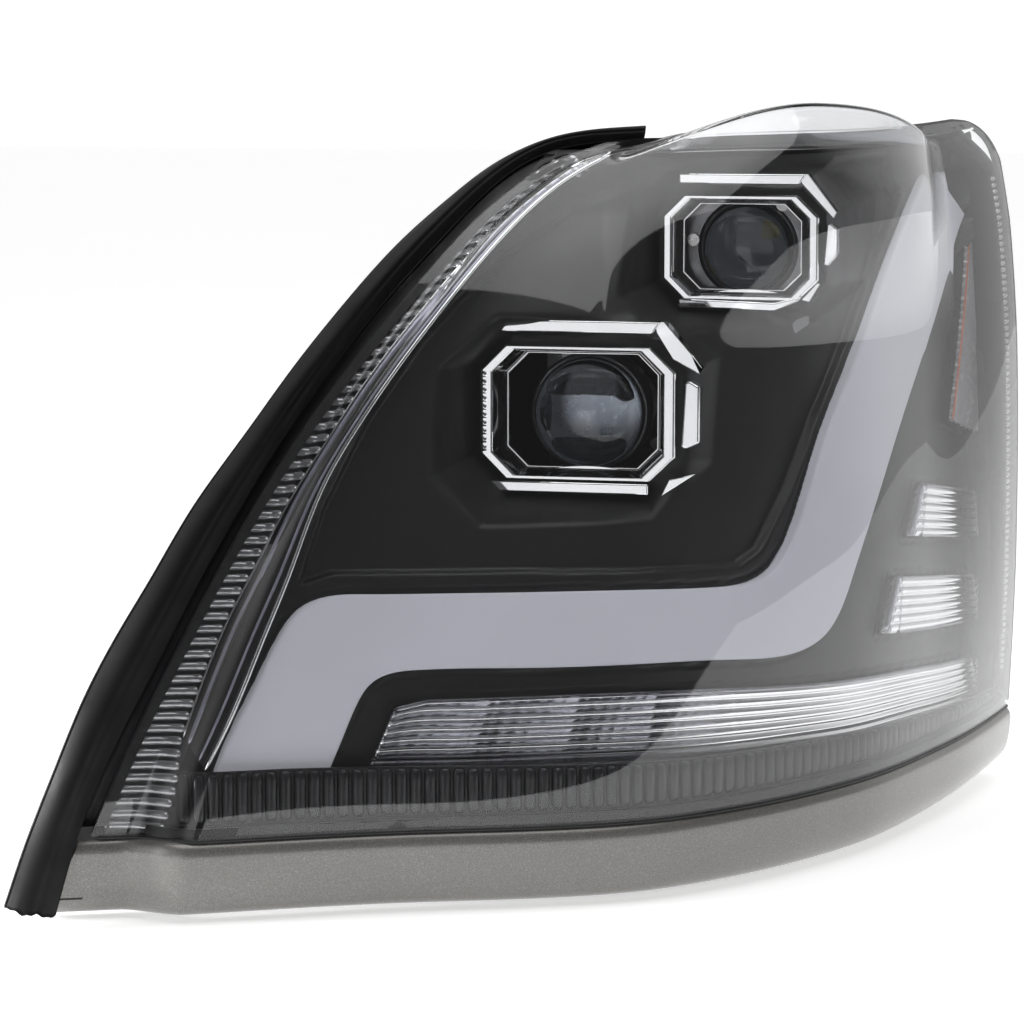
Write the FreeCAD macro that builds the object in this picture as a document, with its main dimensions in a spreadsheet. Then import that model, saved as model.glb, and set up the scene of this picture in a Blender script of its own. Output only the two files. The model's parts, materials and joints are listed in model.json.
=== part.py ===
# Headlamp assembly, vehicle-left, wrap-around lens with two projector modules.
# Millimetres.  +X outboard, +Y rearward (the lamp shines along -Y), +Z up.
# The origin is the centre of the four rear mounting holes.
import math
import os
import FreeCAD
import Part
from FreeCAD import Vector, Placement, Rotation

os.makedirs("parts", exist_ok=True)
doc = FreeCAD.newDocument("Headlamp")

# ------------------------------------------------------------------ driving dimensions
sheet = doc.addObject("Spreadsheet::Sheet", "Sheet")
sheet.Label = "dimensions"
DIM = [
    ("mount_plane_y", 355.0), ("mount_centre_x", -45.0), ("mount_span_x", 150.0), ("mount_span_z", 230.0),
    ("mount_hole_r", 3.4), ("boss_r", 11.0), ("boss_in_len", 150.0), ("boss_out_len", 48.0),
    ("lens_wall", 3.0), ("housing_wall", 3.0), ("bezel_wall", 2.5),
    ("low_x", 23.2), ("low_z", 46.7), ("low_ring_y", 130.0), ("low_lens_r", 35.0), ("low_ring_r", 38.5),
    ("high_x", 111.9), ("high_z", 147.1), ("high_ring_y", 212.0), ("high_lens_r", 29.0), ("high_ring_r", 32.5),
    ("low_frame_y", 96.0), ("high_frame_y", 186.0), ("frame_low_depth", 22.0), ("frame_high_depth", 13.0),
    ("pivot_x", 68.0), ("pivot_z", 97.0), ("pivot_y", 250.0), ("pin_r", 4.0), ("pin_clear", 0.05),
    ("plate_y", 213.0), ("plate_thk", 5.0), ("fin_pitch", 6.0), ("fin_thk", 2.0), ("sink_len", 26.0),
    ("adj_rod_r", 3.0), ("adj_ball_r", 4.0), ("cap_r", 37.0), ("cap_thk", 14.0), ("port_r", 31.0),
    ("screw_head_r", 4.0), ("screw_shank_r", 2.0), ("screw_len", 9.0), ("fan_r", 22.0),
]
DV = {}
for i, (k, v) in enumerate(DIM):
    sheet.set("A%d" % (i + 1), k)
    sheet.set("B%d" % (i + 1), "%g" % v)
    sheet.setAlias("B%d" % (i + 1), k)
    DV[k] = v
doc.recompute()
YM = DV["mount_plane_y"]
XM = DV["mount_centre_x"]

# ------------------------------------------------------------------ master lens surface
AZ = math.radians(12.0)
AB = [(-320, -73), (-260, -63), (-190, -50), (-120, -33.5), (-60, -22), (0, -14.5), (44, -6.5), (88, 8),
      (130, 33), (167, 62), (202, 96), (233, 132), (260, 172), (284, 213), (307, 255), (328, 299),
      (346, 341), (362, 383), (376, 425)]


def nat(xs, ys):
    n = len(xs)
    h = [xs[i + 1] - xs[i] for i in range(n - 1)]
    al = [0] * n
    for i in range(1, n - 1):
        al[i] = 3 * ((ys[i + 1] - ys[i]) / h[i] - (ys[i] - ys[i - 1]) / h[i - 1])
    l = [1] * n
    mu = [0] * n
    z = [0] * n
    for i in range(1, n - 1):
        l[i] = 2 * (xs[i + 1] - xs[i - 1]) - h[i - 1] * mu[i - 1]
        mu[i] = h[i] / l[i]
        z[i] = (al[i] - h[i - 1] * z[i - 1]) / l[i]
    c = [0] * n
    b = [0] * (n - 1)
    d = [0] * (n - 1)
    for j in range(n - 2, -1, -1):
        c[j] = z[j] - mu[j] * c[j + 1]
        b[j] = (ys[j + 1] - ys[j]) / h[j] - h[j] * (c[j + 1] + 2 * c[j]) / 3
        d[j] = (c[j + 1] - c[j]) / (3 * h[j])

    def f(x):
        i = 0
        while i < n - 2 and x > xs[i + 1]:
            i += 1
        q = x - xs[i]
        return ys[i] + b[i] * q + c[i] * q * q + d[i] * q ** 3
    return f


CA, SA = math.cos(AZ), math.sin(AZ)
XY = [(a * CA - b * SA, a * SA + b * CA) for a, b in AB]
SS = [0.0]
for i in range(1, len(XY)):
    SS.append(SS[-1] + math.hypot(XY[i][0] - XY[i - 1][0], XY[i][1] - XY[i - 1][1]))
OFF = SS[AB.index((-190, -50))]
SS = [q - OFF for q in SS]
fx = nat(SS, [p[0] for p in XY])
fy = nat(SS, [p[1] for p in XY])


def lean(t):
    q = max(t, -80) / 430.0
    return 100 * q * q * (1 if q > 0 else -0.5) + 60 * max(q, 0) ** 6


def base(s, t):
    g = lean(t)
    return (fx(s) - 0.25 * g - XM, fy(s) + g - YM, -190.0 + t)


def unit_in(s, t):
    e = 0.5
    a, b, c, f = base(s + e, t), base(s - e, t), base(s, t + e), base(s, t - e)
    u = [a[i] - b[i] for i in range(3)]
    v = [c[i] - f[i] for i in range(3)]
    n = [u[1] * v[2] - u[2] * v[1], u[2] * v[0] - u[0] * v[2], u[0] * v[1] - u[1] * v[0]]
    L = math.sqrt(sum(x * x for x in n))
    return [-x / L for x in n]


def S(s, t, d=0.0):
    p = base(s, t)
    n = unit_in(s, t)
    return Vector(p[0] + d * n[0], p[1] + d * n[1], p[2] + d * n[2])


def draw_dir(s):
    # demould direction of the rear housing, half way between straight back and the lens normal
    a = math.atan2(fy(s + 1) - fy(s - 1), fx(s + 1) - fx(s - 1)) * 0.5
    return (-math.sin(a), math.cos(a), 0.0)


def lin(x, tab):
    if x <= tab[0][0]:
        return tab[0][1]
    for i in range(len(tab) - 1):
        if x <= tab[i + 1][0]:
            f = (x - tab[i][0]) / float(tab[i + 1][0] - tab[i][0])
            return tab[i][1] + f * (tab[i + 1][1] - tab[i][1])
    return tab[-1][1]


def sm(x):
    x = min(1.0, max(0.0, x))
    return x * x * (3 - 2 * x)


T1 = 412.0
fL = nat([0, 6.6, 43.4, 98.8, 157.2, 229.2, 289, 343.3, 371.3, 390.9, 404, 412],
         [-58.8, -55.9, -40.5, -13.6, 17.4, 60.6, 104.9, 152.2, 180.5, 207, 233.4, 262])


def sL(t):
    return fL(min(max(t, 0.0), T1))


def sR(t):
    q = 742.0 - 0.075 * t
    if t > T1 - 34:
        q -= 70.0 * (1 - math.sqrt(max(0.0, 1 - ((t - T1 + 34) / 34.0) ** 2)))
    return q


def edge_w(s, t):
    e = 1.0
    k = (sL(t + e) - sL(t - e)) / (2 * e) if 1 < t < T1 - 1 else 0.45
    return (s - sL(t)) / math.sqrt(1 + k * k)


def front_d(s, t):
    # stepped-back shoulder along the inboard edge and the swell of the outboard side
    w = edge_w(s, t)
    fade = 1 - 0.65 * min(1, max(0, t / T1))
    wr = lin(t, [(0, 32), (85, 27), (217, 17), (385, 9)])
    wc = lin(t, [(0, 58), (85, 48), (217, 26), (385, 15)])
    d = 22.0 * fade * (1 - sm((w - 0.55 * wr) / (wc - 0.55 * wr)))
    d -= lin(t, [(0, 0), (100, 6), (260, 13), (340, 15), (380, 14), (T1, 9)]) * sm((s - 560) / 150.0)
    return d


def bubble(s, t):
    """Height of the bubble that clears the upper module, zero on the bonding edge."""
    x = min(1.0, abs(s - 395.0) / (140.0 if s < 395 else 215.0))
    lo = min(1.0, max(0.0, (370 - t) / 95.0))
    return 48.0 * (1 - x * x) ** 1.2 * (1 - lo * lo) ** 1.6 * sm((402.5 - t) / 12.0)


def lens_point(s, t, d):
    h = bubble(s, t)
    return S(s, t + 0.22 * h, front_d(s, t) - h + d)


# ------------------------------------------------------------------ freeform shell tools
def surf(grid):
    b = Part.BSplineSurface()
    b.interpolate(grid)
    return b


def solid_between(front, back):
    """Closed solid between two matching point grids, joined by ruled side faces."""
    fs, bs = surf(front), surf(back)
    faces = [fs.toShape(), bs.toShape()]
    u0, u1, v0, v1 = fs.bounds()
    a0, a1, c0, c1 = bs.bounds()
    for x, y in ((fs.uIso(u0), bs.uIso(a0)), (fs.uIso(u1), bs.uIso(a1)),
                 (fs.vIso(v0), bs.vIso(c0)), (fs.vIso(v1), bs.vIso(c1))):
        faces.append(Part.makeRuledSurface(x.toShape(), y.toShape()))
    sh = Part.makeShell(faces)
    sh.sewShape()
    so = Part.Solid(sh)
    if so.Volume < 0:
        so.reverse()
    return so


def offset_grid(P, th):
    """Grid moved by th along its own normals (towards the rear)."""
    n, m = len(P), len(P[0])
    out = []
    for i in range(n):
        row = []
        for j in range(m):
            du = P[min(i + 1, n - 1)][j] - P[max(i - 1, 0)][j]
            dv = P[i][min(j + 1, m - 1)] - P[i][max(j - 1, 0)]
            nn = du.cross(dv)
            nn.normalize()
            row.append(P[i][j] - nn * th)
        out.append(row)
    return out


def region(sa, sb, ta, tb, d0, d1, nu=14, nv=8):
    """Slab over a lens-surface region; sa, sb are functions of t, d0/d1 numbers or functions of (s, t)."""
    F, B = [], []
    for i in range(nu + 1):
        f, b = [], []
        for j in range(nv + 1):
            t = ta + (tb - ta) * j / nv
            s = sa(t) + (sb(t) - sa(t)) * i / nu
            f.append(S(s, t, d0(s, t) if callable(d0) else d0))
            b.append(S(s, t, d1(s, t) if callable(d1) else d1))
        F.append(f)
        B.append(b)
    return solid_between(F, B)


def path_slab(left, right, d0, d1, nv=4):
    """Slab over a strip between two matching (s, t) polylines."""
    F, B = [], []
    n = len(left)
    for i in range(n):
        f, b = [], []
        for j in range(nv + 1):
            k = j / float(nv)
            s = left[i][0] + (right[i][0] - left[i][0]) * k
            t = left[i][1] + (right[i][1] - left[i][1]) * k
            a0 = d0(i / (n - 1.0), k) if callable(d0) else d0
            a1 = d1(i / (n - 1.0), k) if callable(d1) else d1
            f.append(S(s, t, a0))
            b.append(S(s, t, a1))
        F.append(f)
        B.append(b)
    return solid_between(F, B)


def resample(pl, n):
    L = [0.0]
    for i in range(1, len(pl)):
        L.append(L[-1] + math.hypot(pl[i][0] - pl[i - 1][0], pl[i][1] - pl[i - 1][1]))
    a = nat(L, [p[0] for p in pl])
    b = nat(L, [p[1] for p in pl])
    return [(a(L[-1] * k / (n - 1.0)), b(L[-1] * k / (n - 1.0))) for k in range(n)]


NODES = []


def feature(label, shape):
    o = doc.addObject("Part::Feature", label)
    o.Label = label
    o.Shape = shape
    NODES.append(o)
    return o


# ------------------------------------------------------------------ parametric body tools
def plane(b, role):
    for o in b.Origin.OriginFeatures:
        if o.Role == role:
            return o


def new_body(label):
    b = doc.addObject("PartDesign::Body", label)
    b.Label = label
    NODES.append(b)
    return b


def new_sketch(b, role, name, off=0.0):
    sk = b.newObject("Sketcher::SketchObject", name)
    sk.AttachmentSupport = (plane(b, role), [""])
    sk.MapMode = "FlatFace"
    sk.AttachmentOffset = Placement(Vector(0, 0, off), Rotation())
    return sk


def add_poly(sk, pts):
    import Sketcher
    n0 = sk.GeometryCount
    n = len(pts)
    for i in range(n):
        a, b = pts[i], pts[(i + 1) % n]
        sk.addGeometry(Part.LineSegment(Vector(a[0], a[1], 0), Vector(b[0], b[1], 0)), False)
    for i in range(n):
        sk.addConstraint(Sketcher.Constraint("Coincident", n0 + i, 2, n0 + (i + 1) % n, 1))


def add_circle(sk, x, y, r, expr=None):
    import Sketcher
    g = sk.addGeometry(Part.Circle(Vector(x, y, 0), Vector(0, 0, 1), r), False)
    c = sk.addConstraint(Sketcher.Constraint("Radius", g, r))
    if expr:
        sk.setExpression("Constraints[%d]" % c, expr)
    return g


def pad(b, sk, length, name, expr=None, reverse=False, mid=False):
    p = b.newObject("PartDesign::Pad", name)
    p.Profile = sk
    p.Length = length
    if expr:
        p.setExpression("Length", expr)
    p.Reversed = reverse
    p.Midplane = mid
    sk.Visibility = False
    return p


def pocket(b, sk, length, name, expr=None, reverse=False, through=False):
    p = b.newObject("PartDesign::Pocket", name)
    p.Profile = sk
    if through:
        p.Type = 1
        p.Midplane = True
    else:
        p.Length = length
        if expr:
            p.setExpression("Length", expr)
    p.Reversed = reverse
    return p


def turned(label, pts, pos, axis="front", bind=None):
    """Revolved piece: pts are (radius, height) with height along the body's own Z axis."""
    b = new_body(label)
    sk = new_sketch(b, "XZ_Plane", label + "_profile")
    add_poly(sk, pts)
    r = b.newObject("PartDesign::Revolution", label + "_turn")
    r.Profile = sk
    r.ReferenceAxis = (sk, ["V_Axis"])
    r.Angle = 360.0
    place(b, pos, axis, bind)
    return b


AX = {"front": Rotation(Vector(1, 0, 0), 90), "up": Rotation(),
      "rear": Rotation(Vector(1, 0, 0), -90), "out": Rotation(Vector(0, 1, 0), 90)}


def place(b, pos, axis="front", bind=None):
    rot = AX[axis] if isinstance(axis, str) else axis
    b.Placement = Placement(Vector(pos[0], pos[1], pos[2]), rot)
    if bind:
        for k, e in bind.items():
            b.setExpression(".Placement.Base." + k, e)


def prism(label, loops, length, pos, axis="front", expr=None, bind=None, z0=0.0):
    b = new_body(label)
    sk = new_sketch(b, "XY_Plane", label + "_outline", z0)
    for lp in loops:
        if isinstance(lp, tuple):
            add_circle(sk, lp[0], lp[1], lp[2], lp[3] if len(lp) > 3 else None)
        else:
            add_poly(sk, lp)
    pad(b, sk, length, label + "_pad", expr)
    place(b, pos, axis, bind)
    return b


def rect(x0, y0, x1, y1):
    return [(x0, y0), (x1, y0), (x1, y1), (x0, y1)]


def octagon(x0, y0, x1, y1, c, c2=None):
    c2 = c if c2 is None else c2
    return [(x0 + c, y0), (x1 - c2, y0), (x1, y0 + c2), (x1, y1 - c), (x1 - c, y1), (x0 + c, y1), (x0, y1 - c), (x0, y0 + c)]


def B(x, y, z):
    """Bindings for a Base position written with sheet aliases."""
    out = {}
    if x:
        out["x"] = x
    if y:
        out["y"] = y
    if z:
        out["z"] = z
    return out


# ------------------------------------------------------------------ outer lens, sealant, housing
LW = DV["lens_wall"]


def lens_grid(k):
    G = []
    NU = 34
    rows = [T1 * (0.5 - 0.5 * math.cos(math.pi * j / 20.0)) for j in range(17)] + [383, 387.5, 390.5, 393.5, 396.5, 399.5, 402.5, 407, T1]
    for i in range(NU + 1):
        row = []
        for t in rows:
            u = i / float(NU)
            u = u * 0.55 + 0.45 * (0.5 - 0.5 * math.cos(math.pi * u))
            s = sL(t) + (sR(t) - sL(t)) * u
            row.append(lens_point(s, t, k))
        G.append(row)
    return G


feature("outer_lens", solid_between(lens_grid(0.0), lens_grid(LW)))

seal = [
    region(lambda t: sL(t) + 8, lambda t: sR(t) - 8, 0.5, 6.0, lambda s, t: front_d(s, t) + 3.05, lambda s, t: front_d(s, t) + 6, 30, 2),
    region(lambda t: sL(t) + 10, lambda t: sR(t) - 9, 405.0, 411.0, lambda s, t: front_d(s, t) + 3.05, lambda s, t: front_d(s, t) + 6, 24, 2),
    region(lambda t: sL(t) + 1, lambda t: sL(t) + 7.5, 6.5, 404.0, lambda s, t: front_d(s, t) + 3.05, lambda s, t: front_d(s, t) + 6, 2, 22),
    region(lambda t: sR(t) - 7, lambda t: sR(t) - 1, 6.5, 404.0, lambda s, t: front_d(s, t) + 3.05, lambda s, t: front_d(s, t) + 6, 2, 22),
]
feature("lens_sealant_bead", Part.makeCompound(seal))

PAN = [(0, 0), (5, 0), (6.5, 0.02), (7.5, 0.10), (8.6, 0.3), (10, 0.55), (12, 0.78), (15.5, 0.92), (24, 0.985), (40, 1.0)]


depth = nat([-60, 60, 160, 290, 400, 500, 600, 742], [120, 185, 232, 236, 205, 160, 118, 66])


def sLh(t):
    return sL(t) if t < 366 else sL(366) + 1.1 * (t - 366)


def sRh(t):
    return 745.5 - 0.075 * t - 60.0 * sm((t - 352.0) / 62.0) ** 1.7


def pan_nodes(total, mids):
    e = [p[0] for p in PAN]
    inner = [e[-1] + (total - 2 * e[-1]) * (k + 1) / float(mids + 1) for k in range(mids)]
    return e + inner + [total - q for q in reversed(e)]


def housing_grid():
    G = []
    tn = pan_nodes(T1, 9)
    nm = 17
    for i in range(len(PAN) * 2 + nm):
        row = []
        for t in tn:
            a, b = sLh(t), sRh(t)
            e = [p[0] for p in PAN]
            k = 1.0
            if i < len(PAN):
                w = e[i] * k
            elif i >= len(PAN) + nm:
                w = (b - a) - e[len(PAN) * 2 + nm - 1 - i]
            else:
                w = e[-1] + ((b - a) - 2 * e[-1]) * (i - len(PAN) + 1) / float(nm + 1)
            s = a + w
            fu = min(lin(w, PAN), lin(b - a - w, PAN))
            fv = min(lin(t, PAN), lin(T1 - t, PAN))
            f = fu * fv
            p = S(s, t, front_d(s, t) * (1 - f) + 6.1)
            dd = draw_dir(s)
            D = depth(s) * f
            row.append(Vector(p.x + D * dd[0], p.y + D * dd[1], p.z))
        G.append(row)
    return G


HG = housing_grid()
housing = solid_between(HG, offset_grid(HG, DV["housing_wall"]))


def rear_seat(s, t, lift=0.0):
    """Point on the outside of the housing floor and its outward direction."""
    def q(s, t):
        p = S(s, t, 6.1)
        dd = draw_dir(s)
        return Vector(p.x + depth(s) * dd[0], p.y + depth(s) * dd[1], p.z)
    du = q(s + 2, t) - q(s - 2, t)
    dv = q(s, t + 2) - q(s, t - 2)
    n = dv.cross(du)
    n.normalize()
    return q(s, t) + n * (DV["housing_wall"] + lift), n


def seat_placement(s, t, lift=0.0):
    p, n = rear_seat(s, t, lift)
    return Placement(p, Rotation(Vector(0, 0, 1), n))




def rear_st(x, z):
    """Surface parameters of the housing floor at a given x and z."""
    a, b = 300.0, z + 190.0
    for _ in range(40):
        p = rear_seat(a, b)[0]
        pa = rear_seat(a + 2, b)[0]
        a += (x - p.x) / ((pa.x - p.x) / 2.0)
        b += z - p.z
    return a, b


def rear_y(x, z):
    return rear_seat(*rear_st(x, z))[0].y


PORT_LOW = rear_st(DV["low_x"] - XM, DV["low_z"])
PORT_HIGH = rear_st(DV["high_x"] - XM - 6, DV["high_z"] - 4)
for st in (PORT_LOW, PORT_HIGH):
    c = Part.makeCylinder(DV["port_r"], 70)
    c.Placement = seat_placement(st[0], st[1], -35)
    housing = housing.cut(c)
CX, CZ = -117.0 - XM, -40.0
CY = rear_y(CX, CZ)
housing = housing.cut(Part.makeBox(22, 90, 44, Vector(CX - 11, CY - 45, CZ - 22)))
V_ROD = (DV["pivot_x"] - XM, 5.0)
H_ROD = (0.0 - XM, DV["pivot_z"])
for x, z in (V_ROD, H_ROD):
    housing = housing.cut(Part.makeCylinder(9.0, 70, Vector(x, rear_y(x, z) - 35, z), Vector(0, 1, 0)))
for a in (-1, 1):
    for b_ in (-1, 1):
        housing = housing.cut(Part.makeCylinder(DV["mount_hole_r"] + 2.0, 15.1, Vector(a * DV["mount_span_x"] / 2, -15.1, b_ * DV["mount_span_z"] / 2), Vector(0, 1, 0)))
feature("rear_housing", housing)

# ------------------------------------------------------------------ inner bezel and light bars
PLOW = (DV["low_x"] - XM, DV["low_z"])
PHIGH = (DV["high_x"] - XM, DV["high_z"])
BD = 34.0
BZ = []
for i in range(33):
    row = []
    for j in range(17):
        t = 19 + 371.0 * j / 16
        a, b = sLh(t) + 24, sRh(t) - 20
        s_ = a + (b - a) * i / 32.0
        row.append(S(s_, t, max(front_d(s_, t), 0) + BD - 12 * sm((t - 372) / 28.0) - 14 * (1 - sm((s_ - a) / 30.0))))
    BZ.append(row)
bezel = solid_between(BZ, offset_grid(BZ, DV["bezel_wall"]))


def y_prism(pts, y0, y1):
    w = Part.makePolygon([Vector(p[0], y0, p[1]) for p in pts + [pts[0]]])
    return Part.Face(w).extrude(Vector(0, y1 - y0, 0))


LOWO = octagon(PLOW[0] - 62, PLOW[1] - 42, PLOW[0] + 60, PLOW[1] + 46, 16)
HIGHO = octagon(PHIGH[0] - 51, PHIGH[1] - 33, PHIGH[0] + 47, PHIGH[1] + 36, 12)
bezel = bezel.cut(y_prism(LOWO, -430, 10))
bezel = bezel.cut(y_prism(HIGHO, -430, 10))
bezel = bezel.cut(Part.makeBox(104, 30, 142, Vector(100, -156, 50)))
feature("inner_bezel", bezel)

DRL_IN = [(17.1, 36.1), (22.2, 49.4), (42.4, 90.5), (58, 121.0), (70, 135.5), (84.0, 141.3), (110, 142.3), (150, 141.7), (197.3, 141.4),
          (287.7, 139.3), (350.0, 135.5), (382.0, 136.6), (400.0, 143.2), (412.0, 154.3), (430.4, 182.8), (455.3, 226.1),
          (491.0, 266.3), (534.9, 309.7), (569.8, 339.0), (596.5, 357.8), (618.1, 370.4), (652, 386)]
DRL_OUT = [(85.1, 32.1), (95.0, 55.8), (103.0, 75.0), (112.0, 88.0), (124.0, 93.5), (140.0, 95.0), (165.0, 95.3), (197.1, 94.8), (240, 94.2),
           (287.6, 93.3), (354.9, 89.2), (400.6, 85.6), (430.9, 87.6), (450.8, 94.0), (466.8, 106.0), (484.0, 128.0), (518.2, 171.2), (554.3, 213.8),
           (611.1, 270.6), (661.3, 314.8), (700.0, 342.0), (722, 352)]
N = 30
din = resample(DRL_IN, N)
dou = [(min(p[0], sR(p[1]) - 20), p[1]) for p in resample(DRL_OUT, N)]


def inset(a, b, w):
    L = math.hypot(b[0] - a[0], b[1] - a[1])
    k = w / L
    return (a[0] + (b[0] - a[0]) * k, a[1] + (b[1] - a[1]) * k)


feature("drl_light_bar", path_slab(din, dou, 22.0, 25.0, 3))
feature("drl_reflector_tray", path_slab([inset(din[i], dou[i], 2) for i in range(N)], [inset(dou[i], din[i], 2) for i in range(N)], 29.5, 31.0, 3))
feature("drl_circuit_strip", path_slab([inset(din[i], dou[i], 20) for i in range(2, N - 2)], [inset(dou[i], din[i], 20) for i in range(2, N - 2)], 27.4, 29.0, 2))
TT = resample([(125.1, 71.2), (140.0, 74.9), (160, 75.6), (201.4, 75.9), (262.7, 75.7), (334.4, 72.0), (411.0, 65.2), (473.1, 59.8), (574.1, 51.4), (660, 43.0), (706, 38.0)], 22)
TB = resample([(109.2, 34.2), (130, 33.4), (152.3, 33.0), (196.9, 33.1), (262.7, 32.7), (341.3, 29.7), (418.1, 26.7), (473.7, 23.7), (574.9, 19.5), (660, 16.0), (706, 15.0)], 22)
feature("turn_signal_lens", path_slab(TT, TB, 20.0, 23.0, 3))
feature("turn_signal_reflector", path_slab([inset(TT[i], TB[i], 2) for i in range(22)], [inset(TB[i], TT[i], 2) for i in range(22)], 28.0, 29.5, 3))
leds = []
for k in range(8):
    i = 2 + k * 2
    a = ((TT[i][0] + TB[i][0]) / 2, (TT[i][1] + TB[i][1]) / 2)
    p = S(a[0], a[1], 27.8)
    n = Vector(*unit_in(a[0], a[1]))
    bx = Part.makeBox(6, 6, 2.4, Vector(-3, -3, -2.4))
    bx.Placement = Placement(p, Rotation(Vector(0, 0, 1), n))
    leds.append(bx)
feature("turn_signal_leds", Part.makeCompound(leds))


def quad(label, c, d0, d1):
    l = [(c[0][0] + (c[3][0] - c[0][0]) * k / 4.0, c[0][1] + (c[3][1] - c[0][1]) * k / 4.0) for k in range(5)]
    r = [(c[1][0] + (c[2][0] - c[1][0]) * k / 4.0, c[1][1] + (c[2][1] - c[1][1]) * k / 4.0) for k in range(5)]
    return feature(label, path_slab(l, r, d0, d1, 6))


SM_LO = [(552.5, 117.6), (712, 97.0), (712, 66.0), (531.2, 82.8)]
SM_UP = [(595.2, 174.2), (712, 155.0), (712, 124.0), (573.3, 142.5)]
SREF = [(688, 336.0), (695, 335.0), (704, 197.0), (648, 212.6)]
quad("side_marker_lens_lower", SM_LO, 20.0, 23.0)
quad("side_marker_lens_upper", SM_UP, 20.0, 23.0)
quad("side_reflector", SREF, 18.0, 21.0)
mk = []
for c in (SM_LO, SM_UP):
    for k in (0.15, 0.33, 0.51, 0.69):
        a = (c[0][0] * (1 - k) + c[1][0] * k + c[3][0] * (1 - k) + c[2][0] * k) / 2, (c[0][1] * (1 - k) + c[1][1] * k + c[3][1] * (1 - k) + c[2][1] * k) / 2
        p = S(a[0], a[1], 28.0)
        bx = Part.makeBox(5, 5, 2.2, Vector(-2.5, -2.5, -2.2))
        bx.Placement = Placement(p, Rotation(Vector(0, 0, 1), Vector(*unit_in(a[0], a[1]))))
        mk.append(bx)
feature("side_marker_leds", Part.makeCompound(mk))

# ------------------------------------------------------------------ outer rubber and lower trim
SO = resample([(-110.6, -38.5), (-99.3, -5.9), (-79.0, 45.6), (-62.7, 84.6), (-39.8, 127.3), (-21.7, 156.8), (2.7, 196.9), (33.1, 238.2),
               (63.2, 278.8), (96.2, 319.5), (129.4, 356.0), (160.2, 383.0), (192.7, 406.0), (233.1, 420.2), (261.2, 424.4), (291.5, 426)], 26)
SI = resample([(-85.3, -43.8), (-68.1, 3.0), (-47.6, 48.7), (-23.2, 95.3), (6.6, 151.6), (30.6, 192.9), (60.6, 240.4), (93.6, 285.5),
               (127, 327.2), (158.0, 360.9), (189.4, 391.2), (220.8, 409.4), (258.8, 416.5), (291.3, 417.6)], 26)


def seal_front(u, k):
    return 16 - 13 * math.sin(math.pi * min(1.0, 0.12 + 0.8 * k)) * (1 - 0.45 * u)


def seal_back(u, k):
    return seal_front(u, k) + 7.0


feature("hood_seal", path_slab(SO, SI, seal_front, seal_back, 8))

TRIMP = [(-3.4, 13.0), (-3.4, 8.0), (-3.7, 4.4), (-5.0, 1.8), (-7.6, 0.4), (-13.0, 0.2), (-22.0, 1.0), (-31.0, 2.4), (-38.0, 5.0), (-42.8, 9.0), (-45.4, 14.0), (-46.2, 20.0)]


def trim_grid():
    G = []
    for i in range(31):
        u = i / 30.0
        row = []
        hh = 1.0 - 0.12 * sm((u - 0.7) / 0.3)
        for (t, d) in TRIMP:
            s0 = -64.0 + 0.33 * t
            s1 = 738.0
            s_ = s0 + (s1 - s0) * u
            stepb = 22.0 * (1 - sm((s_ + 60.0 - 18.0) / 40.0))
            row.append(S(s_, t * hh, d + stepb))
        G.append(row)
    return G


TG = trim_grid()
feature("lower_trim", solid_between(TG, offset_grid(TG, 2.8)))


# ------------------------------------------------------------------ chrome frames and bars
def P3(x, y, z):
    return (x - XM, y - YM, z)


def frame(label, outer, inner, depth_expr, dep, y, band):
    """Polished surround: front band, stepped tunnel and a rear lip; outlines are (x, z) in the lamp frame."""
    b = new_body(label)
    cx = sum(p[0] for p in outer) / len(outer)
    cz = sum(p[1] for p in outer) / len(outer)

    def sc(pts, w):
        out = []
        for p in pts:
            dx, dz = p[0] - cx, p[1] - cz
            L = math.hypot(dx, dz)
            out.append((dx * (L + w) / L, dz * (L + w) / L))
        return out
    s1 = new_sketch(b, "XY_Plane", label + "_band")
    add_poly(s1, sc(outer, 0))
    add_poly(s1, sc(inner, 0))
    pad(b, s1, band, label + "_band_pad")
    s2 = new_sketch(b, "XY_Plane", label + "_tunnel")
    add_poly(s2, sc(outer, -3.0))
    add_poly(s2, sc(inner, 0))
    pad(b, s2, dep, label + "_tunnel_pad", depth_expr, reverse=True)
    place(b, (cx, y, cz), "front")
    return b


LI = octagon(PLOW[0] - 53, PLOW[1] - 37, PLOW[0] + 51, PLOW[1] + 41, 12)
HI = octagon(PHIGH[0] - 43, PHIGH[1] - 28.5, PHIGH[0] + 39, PHIGH[1] + 31, 9)
LO2 = octagon(PLOW[0] - 60, PLOW[1] - 41, PLOW[0] + 58, PLOW[1] + 45, 15)
HO2 = octagon(PHIGH[0] - 49, PHIGH[1] - 32, PHIGH[0] + 45, PHIGH[1] + 35, 11)
frame("chrome_frame_low", LO2, LI, "Sheet.frame_low_depth", 22.0, DV["low_frame_y"] - YM, 4.0)
frame("chrome_frame_high", HO2, HI, "Sheet.frame_high_depth", 13.0, DV["high_frame_y"] - YM, 3.5)


def bars(label, rects, y, d):
    b = new_body(label)
    sk = new_sketch(b, "XY_Plane", label + "_outline")
    add_poly(sk, rects)
    pad(b, sk, d, label + "_pad", mid=True)
    place(b, (0, y, 0), "front")
    return b


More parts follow.
